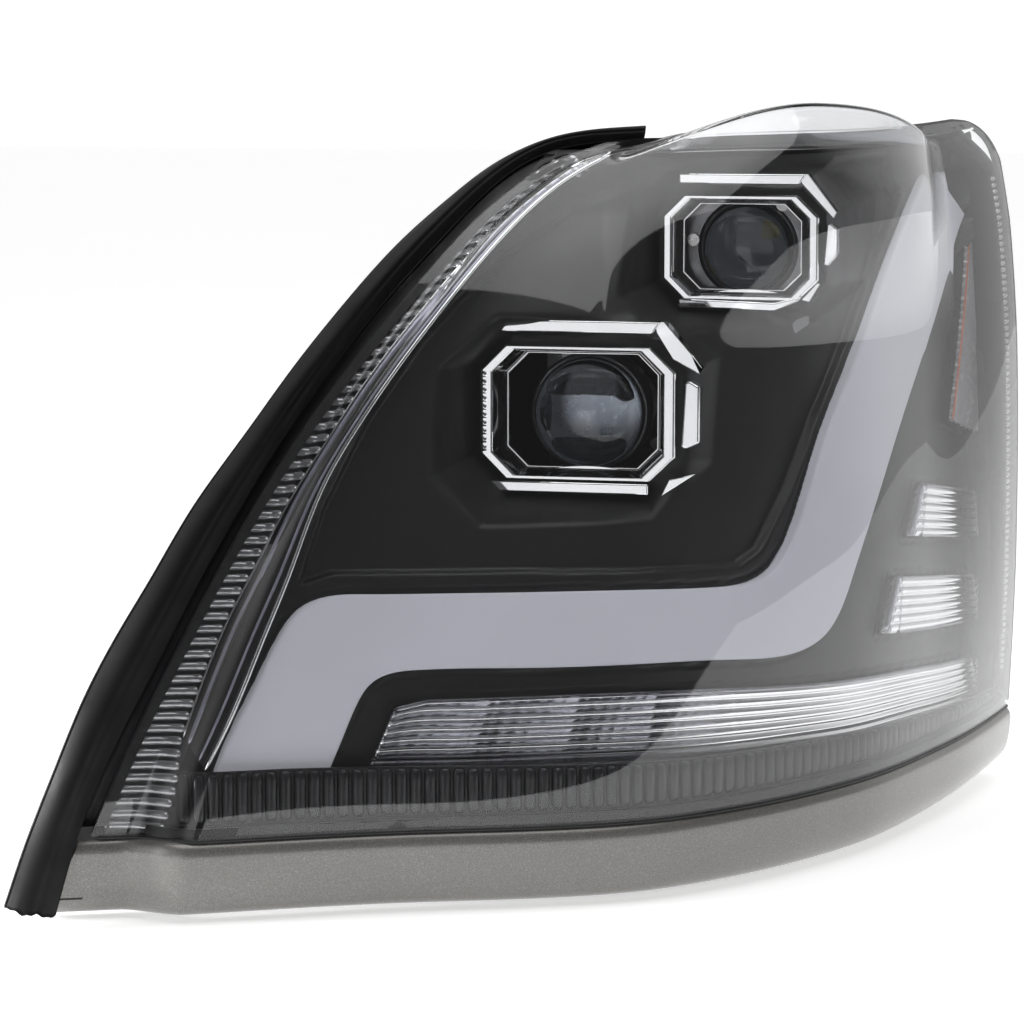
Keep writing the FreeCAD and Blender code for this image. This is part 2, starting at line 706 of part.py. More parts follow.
bars("chrome_bar_low_upper", [(PLOW[0] - 54, PLOW[1] + 51), (PLOW[0] + 46, PLOW[1] + 51), (PLOW[0] + 54, PLOW[1] + 57.5), (PLOW[0] - 46, PLOW[1] + 57.5)], 94 - YM, 10)
bars("chrome_bar_low_lower", [(PLOW[0] - 50, PLOW[1] - 53), (PLOW[0] + 46, PLOW[1] - 53), (PLOW[0] + 52, PLOW[1] - 46.5), (PLOW[0] - 56, PLOW[1] - 46.5)], 94 - YM, 10)
bars("chrome_bar_high_upper", [(PHIGH[0] - 38, PHIGH[1] + 39.5), (PHIGH[0] + 44, PHIGH[1] + 39.5), (PHIGH[0] + 48, PHIGH[1] + 46), (PHIGH[0] - 30, PHIGH[1] + 46)], 187 - YM, 8)
bars("chrome_bar_low_side", [(PLOW[0] + 65, PLOW[1] - 22), (PLOW[0] + 71, PLOW[1] - 16), (PLOW[0] + 71, PLOW[1] + 18), (PLOW[0] + 65, PLOW[1] + 24)], 100 - YM, 10)
bars("chrome_bar_high_side", [(PHIGH[0] + 50.5, PHIGH[1] - 12), (PHIGH[0] + 56, PHIGH[1] - 8), (PHIGH[0] + 56, PHIGH[1] + 16), (PHIGH[0] + 50.5, PHIGH[1] + 20)], 192 - YM, 8)


# ------------------------------------------------------------------ projector modules (local +Z points forward)
def E(a, b):
    return "Sheet.%s - Sheet.%s" % (a, b)


def module(tag, x, z, ry, lr, rr, led_y, sink_y, fan_y, base_half):
    bx = B(E(tag + "_x", "mount_centre_x"), None, "Sheet.%s_z" % tag)
    pos = P3(x, ry, z)
    n = 9
    lens = [(0, 16.0)] + [(lr * math.sin(math.pi / 2 * k / n), 16.0 - 13.0 * (1 - math.cos(math.pi / 2 * k / n)) ** 0.9) for k in range(1, n + 1)]
    lens += [(lr, -4.0), (0, -4.0)]
    turned("projector_lens_" + tag, lens, pos, "front", bx)
    turned("lens_retainer_" + tag, [(lr + 0.05, -4.0), (lr + 0.05, 2.4), (lr + 1.4, 3.4), (rr - 0.8, 1.0), (rr, -1.0), (rr, -12.0), (lr - 3.5, -12.0), (lr - 3.5, -4.05)], pos, "front", bx)
    d = led_y - ry
    turned("projector_bowl_" + tag, [(lr - 3.6, -12.05), (rr, -12.05), (rr, -16), (rr - 3, -20), (rr - 6, -d + 14), (rr - 8, -d + 0.05), (10, -d + 0.05), (10, -d + 2.5), (rr - 11, -d + 3),
                                     (rr - 9, -d + 15), (rr - 6.5, -22), (lr - 3.6, -16)], pos, "front", bx)
    prism("led_board_" + tag, [octagon(-20, -20, 20, 20, 4)], 1.8, P3(x, led_y + 1.85, z), "front", None, bx)
    prism("led_emitter_" + tag, [rect(-5, -1.6, 5, 1.6)], 1.0, P3(x, led_y, z), "front", None, bx)
    b = new_body("heat_sink_" + tag)
    sk = new_sketch(b, "XY_Plane", "sink_base_" + tag)
    add_poly(sk, octagon(-base_half, -base_half, base_half, base_half, 4))
    pad(b, sk, 4.0, "sink_plate_" + tag)
    sf = new_sketch(b, "XY_Plane", "sink_fin_" + tag)
    add_poly(sf, rect(-26, -25, -24, 25))
    fin = pad(b, sf, DV["sink_len"], "sink_fin_pad_" + tag, "Sheet.sink_len", reverse=True)
    lp = b.newObject("PartDesign::LinearPattern", "sink_fins_" + tag)
    lp.Originals = [fin]
    lp.Direction = (sf, ["H_Axis"])
    lp.Length = 48.0
    lp.Occurrences = 9
    b.Tip = lp
    place(b, P3(x, sink_y, z), "front", bx)
    # fan: frame fixed to the fins, rotor turning in it
    fr = DV["fan_r"]
    fb = new_body("fan_frame_" + tag)
    sk = new_sketch(fb, "XY_Plane", "fan_frame_ring_" + tag)
    add_poly(sk, octagon(-26, -26, 26, 26, 3))
    add_circle(sk, 0, 0, fr + 1.2)
    pad(fb, sk, 10.0, "fan_frame_pad_" + tag)
    s3 = new_sketch(fb, "XY_Plane", "fan_spoke_" + tag)
    add_poly(s3, rect(-24.5, -1.4, 24.5, 1.4))
    pad(fb, s3, 1.6, "fan_spoke_pad_" + tag)
    s4 = new_sketch(fb, "XY_Plane", "fan_axle_" + tag)
    add_circle(s4, 0, 0, 1.5)
    pad(fb, s4, 8.0, "fan_axle_pad_" + tag)
    place(fb, P3(x, fan_y + 10.0, z), "front", bx)
    rb = new_body("fan_rotor_" + tag)
    sk = new_sketch(rb, "XY_Plane", "rotor_hub_" + tag)
    add_circle(sk, 0, 0, 8.0)
    add_circle(sk, 0, 0, 1.55)
    pad(rb, sk, 7.0, "rotor_hub_pad_" + tag)
    s5 = new_sketch(rb, "XY_Plane", "rotor_blade_" + tag, 0.8)
    add_poly(s5, [(7.0, -2.0), (fr - 1.0, -4.2), (fr - 0.6, -2.4), (fr - 1.4, 0.2), (7.0, 1.0)])
    bl = pad(rb, s5, 5.4, "rotor_blade_pad_" + tag)
    pp = rb.newObject("PartDesign::PolarPattern", "rotor_blades_" + tag)
    pp.Originals = [bl]
    pp.Axis = (sk, ["N_Axis"])
    pp.Angle = 360.0
    pp.Occurrences = 7
    rb.Tip = pp
    place(rb, P3(x, fan_y + 8.0, z), "front", bx)


module("low", DV["low_x"], DV["low_z"], DV["low_ring_y"], DV["low_lens_r"], DV["low_ring_r"], 207.15, 213.0, 239.3, 32.0)
module("high", DV["high_x"], DV["high_z"], DV["high_ring_y"], DV["high_lens_r"], DV["high_ring_r"], 262.15, 268.0, 294.3, 27.0)
prism("cutoff_shield_low", [[(-22, -14), (22, -14), (22, 0), (6, 0), (2, 2.5), (-22, 2.5)]], 1.5, P3(DV["low_x"], 168, DV["low_z"]), "front", None,
      B(E("low_x", "mount_centre_x"), None, "Sheet.low_z"))

# ------------------------------------------------------------------ carrier, aiming pivot, adjusters
PX, PZ = DV["pivot_x"] - XM, DV["pivot_z"]
cb = new_body("projector_carrier")
sk = new_sketch(cb, "XY_Plane", "carrier_outline")
ox, oz = 0.0, 0.0
ring_l = (PLOW[0], PLOW[1])
ring_h = (PHIGH[0], PHIGH[1])
add_poly(sk, [(-20 - XM, 2), (80 - XM, -6), (96 - XM, 60), (150 - XM, 98), (154 - XM, 176), (140 - XM, 190), (86 - XM, 190), (60 - XM, 150), (-10 - XM, 112), (-22 - XM, 96)])
add_poly(sk, octagon(ring_l[0] - 28, ring_l[1] - 27, ring_l[0] + 28, ring_l[1] + 27, 3))
add_circle(sk, ring_h[0], ring_h[1], DV["high_ring_r"] + 0.15)
pad(cb, sk, DV["plate_thk"], "carrier_plate", "Sheet.plate_thk")
place(cb, (0, DV["plate_y"] + DV["plate_thk"] - YM, 0), "front")


# ------------------------------------------------------------------ primitives bound to the sheet
def pcyl(name, r, h, pos, direction=(0, 1, 0), expr=None):
    o = doc.addObject("Part::Cylinder", name)
    o.Radius = r
    o.Height = h
    if expr:
        o.setExpression("Radius", expr)
    o.Placement = Placement(Vector(*pos), Rotation(Vector(0, 0, 1), Vector(*direction)))
    return o


def pbox(name, x0, y0, z0, x1, y1, z1):
    o = doc.addObject("Part::Box", name)
    o.Length, o.Width, o.Height = x1 - x0, y1 - y0, z1 - z0
    o.Placement = Placement(Vector(x0, y0, z0), Rotation())
    return o


def pfuse(name, objs):
    o = doc.addObject("Part::MultiFuse", name)
    o.Shapes = objs
    return o


def pcut(name, a, b):
    o = doc.addObject("Part::Cut", name)
    o.Base, o.Tool = a, b
    return o


def pgroup(label, objs):
    o = doc.addObject("Part::Compound", label)
    o.Links = objs
    return o


def node(o, label):
    o.Label = label
    NODES.append(o)
    return o


PY = DV["pivot_y"] - YM
PR = DV["pin_r"]
PC = PR + DV["pin_clear"]
pb = plate_back = DV["plate_y"] + DV["plate_thk"] - YM
# ears and adjuster sockets on the carrier
ears = []
for k, sgn in enumerate((-1, 1)):
    x0, x1 = sorted((PX + sgn * 9.6, PX + sgn * 16.0))
    e = pbox("ear_block%d" % k, x0, pb, PZ - 8, x1, PY + 8, PZ + 8)
    c = pcyl("ear_bore%d" % k, PC, 30, (PX + sgn * 24 if sgn < 0 else PX, PY, PZ), (1, 0, 0), "Sheet.pin_r + Sheet.pin_clear")
    ears.append(pcut("ear%d" % k, e, c))
node(pgroup("carrier_ears", ears), "carrier_ears")
soc = []
for k, (x, z) in enumerate((V_ROD, H_ROD)):
    post = pcyl("socket_post%d" % k, 5.5, PY - 6 - pb, (x, pb, z))
    cup = pcyl("socket_cup%d" % k, 7.5, 11.0, (x, PY - 6, z))
    solid = pfuse("socket_solid%d" % k, [post, cup])
    cav = pcyl("socket_cavity%d" % k, DV["adj_ball_r"] + 0.5, 9.0, (x, PY - 5, z), (0, 1, 0), "Sheet.adj_ball_r + 0.5")
    mouth = pcyl("socket_mouth%d" % k, DV["adj_rod_r"] + 0.7, 6.0, (x, PY + 1, z), (0, 1, 0), "Sheet.adj_rod_r + 0.7")
    soc.append(pcut("socket%d" % k, solid, pfuse("socket_void%d" % k, [cav, mouth])))
node(pgroup("adjuster_sockets", soc), "adjuster_sockets")
# cross with four stub pins
node(pfuse("aim_cross", [pbox("cross_block", PX - 9, PY - 9, PZ - 9, PX + 9, PY + 9, PZ + 9),
                         pcyl("cross_tilt_pin", PR, 32, (PX - 16, PY, PZ), (1, 0, 0), "Sheet.pin_r"),
                         pcyl("cross_yaw_pin", PR, 36, (PX, PY, PZ - 18), (0, 0, 1), "Sheet.pin_r")]), "aim_cross")
# fork bracket fixed to the housing floor
RY = rear_y(PX, PZ)
fork = pfuse("fork_solid", [pbox("fork_upper", PX - 9, PY - 8, PZ + 9.6, PX + 9, PY + 26, PZ + 18),
                            pbox("fork_lower", PX - 9, PY - 8, PZ - 18, PX + 9, PY + 26, PZ - 9.6),
                            pbox("fork_web", PX - 9, PY + 18, PZ - 18, PX + 9, PY + 26, PZ + 18),
                            pbox("fork_stem", PX - 9, PY + 20, PZ - 10, PX + 9, RY + 6, PZ + 10)])
node(pcut("pivot_bracket", fork, pcyl("fork_bore", PC, 60, (PX, PY, PZ - 30), (0, 0, 1), "Sheet.pin_r + Sheet.pin_clear")), "pivot_bracket")
# adjuster screws, guided by bushings in the housing floor
for tag, (x, z) in (("vertical", V_ROD), ("horizontal", H_ROD)):
    ry = rear_y(x, z)
    b0, b1 = ry - 16.0, ry + 16.0
    bu = pcut("bushing_" + tag, pcyl("bushing_body_" + tag, 9.0, b1 - b0, (x, b0, z)),
              pcyl("bushing_bore_" + tag, DV["adj_rod_r"] + 0.08, 60, (x, b0 - 5, z), (0, 1, 0), "Sheet.adj_rod_r + 0.08"))
    node(bu, "adjuster_bushing_" + tag)
    rod = pcyl("rod_" + tag, DV["adj_rod_r"], b1 + 8 - PY, (x, PY, z), (0, 1, 0), "Sheet.adj_rod_r")
    ball = doc.addObject("Part::Sphere", "rod_ball_" + tag)
    ball.Radius = DV["adj_ball_r"]
    ball.setExpression("Radius", "Sheet.adj_ball_r")
    ball.Placement = Placement(Vector(x, PY, z), Rotation())
    hexh = doc.addObject("Part::Prism", "rod_hex_" + tag)
    hexh.Polygon = 6
    hexh.Circumradius = 8.0
    hexh.Height = 9.0
    hexh.Placement = Placement(Vector(x, b1 + 7, z), AX["rear"])
    node(pfuse("adjuster_screw_" + tag, [rod, ball, hexh]), "adjuster_screw_" + tag)
# clamp ring that holds the upper module to the carrier
hr = DV["high_ring_r"]
node(pcut("module_clamp_ring", pcyl("clamp_outer", hr + 6.5, 5.9, (PHIGH[0], DV["plate_y"] - YM - 5.95, PHIGH[1])),
          pcyl("clamp_bore", hr + 0.05, 20, (PHIGH[0], DV["plate_y"] - YM - 12, PHIGH[1]), (0, 1, 0), "Sheet.high_ring_r + 0.05")), "module_clamp_ring")


def screws(label, spots, hr_=DV["screw_head_r"], sr=DV["screw_shank_r"], sl=DV["screw_len"]):
    """Identical pan-head screws; spots are (head seat point, direction out of the head)."""
    objs = []
    for k, (p, d) in enumerate(spots):
        d = Vector(*d)
        d.normalize()
        q = Vector(*p)
        head = pcyl("%s_head%d" % (label, k), hr_, 2.6, tuple(q), tuple(d), "Sheet.screw_head_r")
        sh = pcyl("%s_shank%d" % (label, k), sr, sl + 0.5, tuple(q - d * sl), tuple(d), "Sheet.screw_shank_r")
        objs.append(pfuse("%s_screw%d" % (label, k), [head, sh]))
    node(pgroup(label, objs), label)


cs = [((PLOW[0] + a * 29.6, DV["plate_y"] - YM - 4.0, PLOW[1] + b * 28.6), (0, -1, 0)) for a in (-1, 1) for b in (-1, 1)]
cs += [((PHIGH[0] + 35.8 * math.cos(a), DV["plate_y"] - YM - 5.95, PHIGH[1] + 35.8 * math.sin(a)), (0, -1, 0)) for a in (0.9, 3.0, 5.2)]
screws("carrier_screws", cs)

# ------------------------------------------------------------------ rear ports, caps, connector, driver, vents, bosses
for tag, st in (("low", PORT_LOW), ("high", PORT_HIGH)):
    pl = seat_placement(st[0], st[1])
    pr = DV["port_r"]
    for nm, pts in (("service_port_" + tag, [(pr - 3.5, -9), (pr + 2, -9), (pr + 2, 16), (pr - 3.5, 16)]),
                    ("port_gasket_" + tag, [(pr - 3, 16.02), (pr + 1.6, 16.02), (pr + 1.6, 17.2), (pr - 3, 17.2)])):
        b = turned(nm, pts, (0, 0, 0), "up")
        b.Placement = pl
    b = new_body("service_cap_" + tag)
    sk = new_sketch(b, "XZ_Plane", "cap_profile_" + tag)
    add_poly(sk, [(0, 17.5), (pr + 2.35, 17.5), (pr + 2.35, 8), (pr + 6, 8), (pr + 6, 20), (pr + 4.6, 21.5), (0, 21.5)])
    r = b.newObject("PartDesign::Revolution", "cap_turn_" + tag)
    r.Profile = sk
    r.ReferenceAxis = (sk, ["V_Axis"])
    r.Angle = 360.0
    s2 = new_sketch(b, "XY_Plane", "cap_grip_" + tag, 21.0)
    add_poly(s2, octagon(-27, -4, 27, 4, 2))
    pad(b, s2, 9.0, "cap_grip_pad_" + tag)
    b.Placement = pl

cy = [rear_y(CX + a, CZ + b) for a in (-11, 11) for b in (-22, 22)]
c0, c1 = min(cy) - 8.0, max(cy) + 14.0
cb2 = new_body("connector_inlet")
sk = new_sketch(cb2, "XY_Plane", "inlet_shroud")
add_poly(sk, rect(-11, -22, 11, 22))
add_poly(sk, rect(-8.6, -19.6, 8.6, 19.6))
pad(cb2, sk, c1 - c0, "inlet_shroud_pad")
s2 = new_sketch(cb2, "XY_Plane", "inlet_floor", c1 - c0 - 24.0)
add_poly(s2, rect(-9.5, -20.5, 9.5, 20.5))
for a in (-4.2, 4.2):
    for b_ in (-12, -4, 4, 12):
        add_circle(s2, a, b_, 0.8)
pad(cb2, s2, 3.0, "inlet_floor_pad", reverse=True)
cb2.Placement = Placement(Vector(CX, c0, CZ), Rotation(Vector(1, 0, 0), -90))
pins = [pcyl("pin%d_%d" % (i_, j_), 0.8, 20, (CX + a, c1 - 34, CZ + b_)) for i_, a in enumerate((-4.2, 4.2)) for j_, b_ in enumerate((-12, -4, 4, 12))]
node(pgroup("connector_terminals", pins), "connector_terminals")
INLET = (CX, c1, CZ)

pl = seat_placement(205.0, 118.0, 6.0)
db = new_body("led_driver_module")
sk = new_sketch(db, "XY_Plane", "driver_outline")
add_poly(sk, octagon(-36, -26, 36, 26, 4))
pad(db, sk, 13.0, "driver_pad")
s2 = new_sketch(db, "XY_Plane", "driver_rib", 13.0)
add_poly(s2, rect(-32, -20, -29, 20))
rb_ = pad(db, s2, 4.0, "driver_rib_pad")
lp = db.newObject("PartDesign::LinearPattern", "driver_ribs")
lp.Originals = [rb_]
lp.Direction = (s2, ["H_Axis"])
lp.Length = 58.0
lp.Occurrences = 9
db.Tip = lp
db.Placement = pl
nrm = pl.Rotation.multVec(Vector(0, 0, 1))
feet = []
for k, (a, b_) in enumerate(((-28, -18), (28, -18), (-28, 18), (28, 18))):
    q = pl.multVec(Vector(a, b_, -10.0))
    feet.append(pcyl("driver_foot%d" % k, 5.0, 9.95, tuple(q), tuple(nrm)))
node(pgroup("driver_standoffs", feet), "driver_standoffs")
vs = []
for k, st in enumerate(((120.0, 250.0), (560.0, 130.0))):
    q, n = rear_seat(st[0], st[1], -1.0)
    vs.append(pcyl("vent%d" % k, 9.0, 9.0, tuple(q), tuple(n)))
node(pgroup("vent_caps", vs), "vent_caps")

hx, hz = DV["mount_span_x"] / 2, DV["mount_span_z"] / 2
bosses, inserts = [], []
for k, (a, b_) in enumerate(((-1, -1), (1, -1), (-1, 1), (1, 1))):
    x, z = a * hx, b_ * hz
    y0 = rear_y(x, z) - 9.0
    o = pcyl("boss%d" % k, DV["boss_r"], -y0, (x, y0, z), (0, 1, 0), "Sheet.boss_r")
    hole = pcyl("boss_hole%d" % k, DV["mount_hole_r"] + 2.0, 15.0, (x, -15.0, z), (0, 1, 0), "Sheet.mount_hole_r + 2.0")
    bosses.append(pcut("boss_cut%d" % k, o, hole))
    io = pcyl("insert%d" % k, DV["mount_hole_r"] + 2.0, 15.0, (x, -15.0, z), (0, 1, 0), "Sheet.mount_hole_r + 2.0")
    ih = pcyl("insert_hole%d" % k, DV["mount_hole_r"], 17.0, (x, -16.0, z), (0, 1, 0), "Sheet.mount_hole_r")
    inserts.append(pcut("insert_cut%d" % k, io, ih))
node(pgroup("mounting_bosses", bosses), "mounting_bosses")
node(pgroup("mounting_inserts", inserts), "mounting_inserts")

# ------------------------------------------------------------------ strips that carry the rubber and the trim
M = len(SO)
SR0 = [(SO[i][0] * 0.28 + SI[i][0] * 0.72, SO[i][1] * 0.28 + SI[i][1] * 0.72) for i in range(2, M - 2)]
SR1 = [inset(SI[i], SO[i], -11.0) for i in range(2, M - 2)]


def ret_d(u, k):
    a = seal_back(0.08 + 0.84 * u, 0.72) + 0.1
    b = 22.0 * (1 - 0.65 * u) + 9.6
    return a + (b - a) * sm(k * 1.6)


feature("seal_retainer", path_slab(SR0, SR1, ret_d, lambda u, k: ret_d(u, k) + 2.5, 5))
feature("trim_bracket", region(lambda t: 30.0, lambda t: 724.0, -13.0, 5.0, lambda s, t: front_d(s, max(t, 0.0)) + 9.4, lambda s, t: front_d(s, max(t, 0.0)) + 11.8, 30, 3))

# ------------------------------------------------------------------ repeated small pieces share one node


def collect(label, names):
    objs = [doc.getObject(n) for n in names]
    for o in objs:
        NODES.remove(o)
    node(pgroup(label, objs), label)


collect("chrome_accent_bars", ["chrome_bar_low_upper", "chrome_bar_low_lower", "chrome_bar_high_upper", "chrome_bar_low_side", "chrome_bar_high_side"])
collect("port_gaskets", ["port_gasket_low", "port_gasket_high"])
collect("led_emitters", ["led_emitter_low", "led_emitter_high"])
collect("adjuster_bushings", ["bushing_vertical", "bushing_horizontal"])

doc.recompute()
for o in NODES:
    if "Invalid" in o.State or "Error" in o.State or o.Shape.isNull() or not o.Shape.isValid():
        raise RuntimeError("bad object " + o.Label)
    o.Shape.exportStep("parts/" + o.Label + ".step")
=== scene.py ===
import json
import math
import bpy
import numpy as np
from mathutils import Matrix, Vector


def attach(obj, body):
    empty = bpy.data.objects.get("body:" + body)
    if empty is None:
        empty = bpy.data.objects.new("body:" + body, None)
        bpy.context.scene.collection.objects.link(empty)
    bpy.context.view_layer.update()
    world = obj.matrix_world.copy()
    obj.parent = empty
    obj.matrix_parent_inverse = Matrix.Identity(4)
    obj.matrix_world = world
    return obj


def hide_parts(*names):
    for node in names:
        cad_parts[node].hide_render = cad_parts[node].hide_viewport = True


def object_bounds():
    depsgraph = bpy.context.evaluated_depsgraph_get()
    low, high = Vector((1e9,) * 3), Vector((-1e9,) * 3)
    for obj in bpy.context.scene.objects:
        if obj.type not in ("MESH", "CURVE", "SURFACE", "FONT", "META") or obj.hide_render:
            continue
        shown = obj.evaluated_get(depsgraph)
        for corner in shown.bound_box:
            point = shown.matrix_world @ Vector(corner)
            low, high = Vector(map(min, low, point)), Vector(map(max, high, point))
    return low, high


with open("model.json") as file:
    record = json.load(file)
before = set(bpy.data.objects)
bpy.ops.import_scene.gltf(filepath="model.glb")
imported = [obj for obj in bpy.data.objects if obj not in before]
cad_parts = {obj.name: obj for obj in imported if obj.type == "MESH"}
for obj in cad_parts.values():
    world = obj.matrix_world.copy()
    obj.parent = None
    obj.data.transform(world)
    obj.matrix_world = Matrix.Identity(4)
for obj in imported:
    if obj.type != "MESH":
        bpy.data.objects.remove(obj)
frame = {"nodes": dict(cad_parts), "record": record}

cad_lo, cad_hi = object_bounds()
XM, YM = -45.0, 355.0          # row frame = lamp frame moved by these (mm)

# ------------------------------------------------------------------ master surface (same law as the CAD)
AZ = math.radians(12.0)
AB = [(-320, -73), (-260, -63), (-190, -50), (-120, -33.5), (-60, -22), (0, -14.5), (44, -6.5), (88, 8),
      (130, 33), (167, 62), (202, 96), (233, 132), (260, 172), (284, 213), (307, 255), (328, 299),
      (346, 341), (362, 383), (376, 425)]


def nat(xs, ys):
    n = len(xs)
    h = [xs[i + 1] - xs[i] for i in range(n - 1)]
    al = [0.0] * n
    for i in range(1, n - 1):
        al[i] = 3 * ((ys[i + 1] - ys[i]) / h[i] - (ys[i] - ys[i - 1]) / h[i - 1])
    l = [1.0] * n
    mu = [0.0] * n
    z = [0.0] * n
    for i in range(1, n - 1):
        l[i] = 2 * (xs[i + 1] - xs[i - 1]) - h[i - 1] * mu[i - 1]
        mu[i] = h[i] / l[i]
        z[i] = (al[i] - h[i - 1] * z[i - 1]) / l[i]
    c = [0.0] * n
    b = [0.0] * (n - 1)
    d = [0.0] * (n - 1)
    for j in range(n - 2, -1, -1):
        c[j] = z[j] - mu[j] * c[j + 1]
        b[j] = (ys[j + 1] - ys[j]) / h[j] - h[j] * (c[j + 1] + 2 * c[j]) / 3
        d[j] = (c[j + 1] - c[j]) / (3 * h[j])
    X = np.array(xs, float)
    Y, Bc, Cc, Dc = np.array(ys, float), np.array(b + [b[-1]]), np.array(c), np.array(d + [d[-1]])

    def f(x):
        x = np.asarray(x, float)
        i = np.clip(np.searchsorted(X, x) - 1, 0, n - 2)
        q = x - X[i]
        return Y[i] + Bc[i] * q + Cc[i] * q * q + Dc[i] * q ** 3
    return f


CA, SA = math.cos(AZ), math.sin(AZ)
XY = [(a * CA - b * SA, a * SA + b * CA) for a, b in AB]
SS = [0.0]
for i in range(1, len(XY)):
    SS.append(SS[-1] + math.hypot(XY[i][0] - XY[i - 1][0], XY[i][1] - XY[i - 1][1]))
OFF = SS[AB.index((-190, -50))]
SS = [q - OFF for q in SS]
fx = nat(SS, [p[0] for p in XY])
fy = nat(SS, [p[1] for p in XY])


def lean(t):
    q = np.maximum(t, -80) / 430.0
    return 100 * q * q * np.where(q > 0, 1, -0.5) + 60 * np.maximum(q, 0) ** 6


def base(s, t):
    g = lean(t)
    return np.stack([fx(s) - 0.25 * g - XM, fy(s) + g - YM, -190.0 + t], -1)


def unit_in(s, t):
    e = 0.5
    u = base(s + e, t) - base(s - e, t)
    v = base(s, t + e) - base(s, t - e)
    n = -np.cross(u, v)
    return n / np.linalg.norm(n, axis=-1, keepdims=True)


def S(s, t, d=0.0):
    s, t = np.broadcast_arrays(np.asarray(s, float), np.asarray(t, float))
    d = np.broadcast_to(np.asarray(d, float), s.shape)
    return base(s, t) + d[..., None] * unit_in(s, t)


def sm(x):
    x = np.clip(x, 0, 1)
    return x * x * (3 - 2 * x)


T1 = 412.0
fL = nat([0, 6.6, 43.4, 98.8, 157.2, 229.2, 289, 343.3, 371.3, 390.9, 404, 412],
         [-58.8, -55.9, -40.5, -13.6, 17.4, 60.6, 104.9, 152.2, 180.5, 207, 233.4, 262])


def sL(t):
    return fL(np.clip(t, 0.0, T1))


def sR(t):
    t = np.asarray(t, float)
    q = 742.0 - 0.075 * t
    k = np.clip((t - T1 + 34) / 34.0, 0, 1)
    return q - 70.0 * (1 - np.sqrt(1 - k ** 2))


def slopeL(t):
    t = np.clip(t, 1.0, T1 - 1)
    return (sL(t + 1) - sL(t - 1)) / 2.0


def edge_w(s, t):
    return (s - sL(t)) / np.sqrt(1 + slopeL(t) ** 2)


def wr_of(t):
    return np.interp(t, [0, 85, 217, 385, 412], [32, 27, 17, 9, 8])


def wc_of(t):
    return np.interp(t, [0, 85, 217, 385, 412], [56, 46, 26, 15, 13])


def front_d(s, t):
    w = edge_w(s, t)
    fade = 1 - 0.65 * np.clip(t / T1, 0, 1)
    wr = np.interp(t, [0, 85, 217, 385], [32, 27, 17, 9])
    wc = np.interp(t, [0, 85, 217, 385], [58, 48, 26, 15])
    d = 22.0 * fade * (1 - sm((w - 0.55 * wr) / (wc - 0.55 * wr)))
    return d - np.interp(t, [0, 100, 260, 340, 380, T1], [0, 6, 13, 15, 14, 9]) * sm((s - 560) / 150.0)


def bubble(s, t):
    x = np.clip(np.abs(s - 395.0) / np.where(s < 395, 140.0, 215.0), 0, 1)
    lo = np.clip((370 - t) / 95.0, 0, 1)
    return 47.4 * (1 - x * x) ** 1.2 * (1 - lo * lo) ** 1.6 * sm((402.5 - t) / 12.0)


def lens_point(s, t, d=0.0):
    h = bubble(s, t)
    return S(s, t + 0.22 * h, front_d(s, t) - h + d)


# ------------------------------------------------------------------ mesh helpers (mm in, metres out)
def new_obj(name, V, Fc, smooth=True):
    me = bpy.data.meshes.new(name)
    me.from_pydata((np.asarray(V, float).reshape(-1, 3) * 0.001).tolist(), [], Fc if isinstance(Fc, list) else Fc.tolist())
    me.validate()
    me.update()
    ob = bpy.data.objects.new(name, me)
    bpy.context.scene.collection.objects.link(ob)
    if smooth:
        me.polygons.foreach_set("use_smooth", [True] * len(me.polygons))
    return ob


def quads(n, m, off=0, flip=False):
    i, j = np.meshgrid(np.arange(n - 1), np.arange(m - 1), indexing="ij")
    a = (i * m + j).ravel() + off
    q = np.stack([a, a + m, a + m + 1, a + 1], 1)
    return q[:, ::-1] if flip else q


def border(n, m):
    idx = [j for j in range(m)] + [i * m + m - 1 for i in range(1, n)] + [(n - 1) * m + j for j in range(m - 2, -1, -1)] + [i * m for i in range(n - 2, 0, -1)]
    return np.array(idx)


def grid_normals(P):
    du = np.gradient(P, axis=0)
    dv = np.gradient(P, axis=1)
    n = np.cross(du, dv)
    return n / np.maximum(np.linalg.norm(n, axis=-1, keepdims=True), 1e-9)


def slab(name, F, B, sharp=True):
    n, m = F.shape[:2]
    V = np.concatenate([F.reshape(-1, 3), B.reshape(-1, 3)])
    q1, q2 = quads(n, m), quads(n, m, n * m, True)
    r = border(n, m)
    r2 = np.roll(r, -1)
    side = np.stack([r2, r, r + n * m, r2 + n * m], 1)
    ob = new_obj(name, V, np.concatenate([q1, q2, side]))
    if sharp:
        me = ob.data
        br = set(map(int, np.concatenate([r, r + n * m])))
        for e in me.edges:
            a, b = e.vertices
            if a in br and b in br and (abs(a - b) in (1, m) or True):
                e.use_edge_sharp = True
    return ob


def thick(name, F, th):
    return slab(name, F, F - grid_normals(F) * th)


def resample(pl, n):
    pl = np.array(pl, float)
    L = np.concatenate([[0], np.cumsum(np.hypot(*np.diff(pl, axis=0).T))])
    a, b = nat(list(L), list(pl[:, 0])), nat(list(L), list(pl[:, 1]))
    q = np.linspace(0, L[-1], n)
    return np.stack([a(q), b(q)], 1)


def put(ob, body, material, replaces=()):
    ob.data.materials.clear()
    ob.data.materials.append(material)
    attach(ob, body)
    if replaces:
        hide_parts(*replaces)
    return ob


# ------------------------------------------------------------------ materials
def nodes_of(name):
    m = bpy.data.materials.new(name)
    m.use_nodes = True
    nt = m.node_tree
    return m, nt, nt.nodes["Principled BSDF"], nt.nodes["Material Output"]


def texco(nt):
    for n in nt.nodes:
        if n.type == "TEX_COORD":
            return n.outputs["Object"]
    return nt.nodes.new("ShaderNodeTexCoord").outputs["Object"]


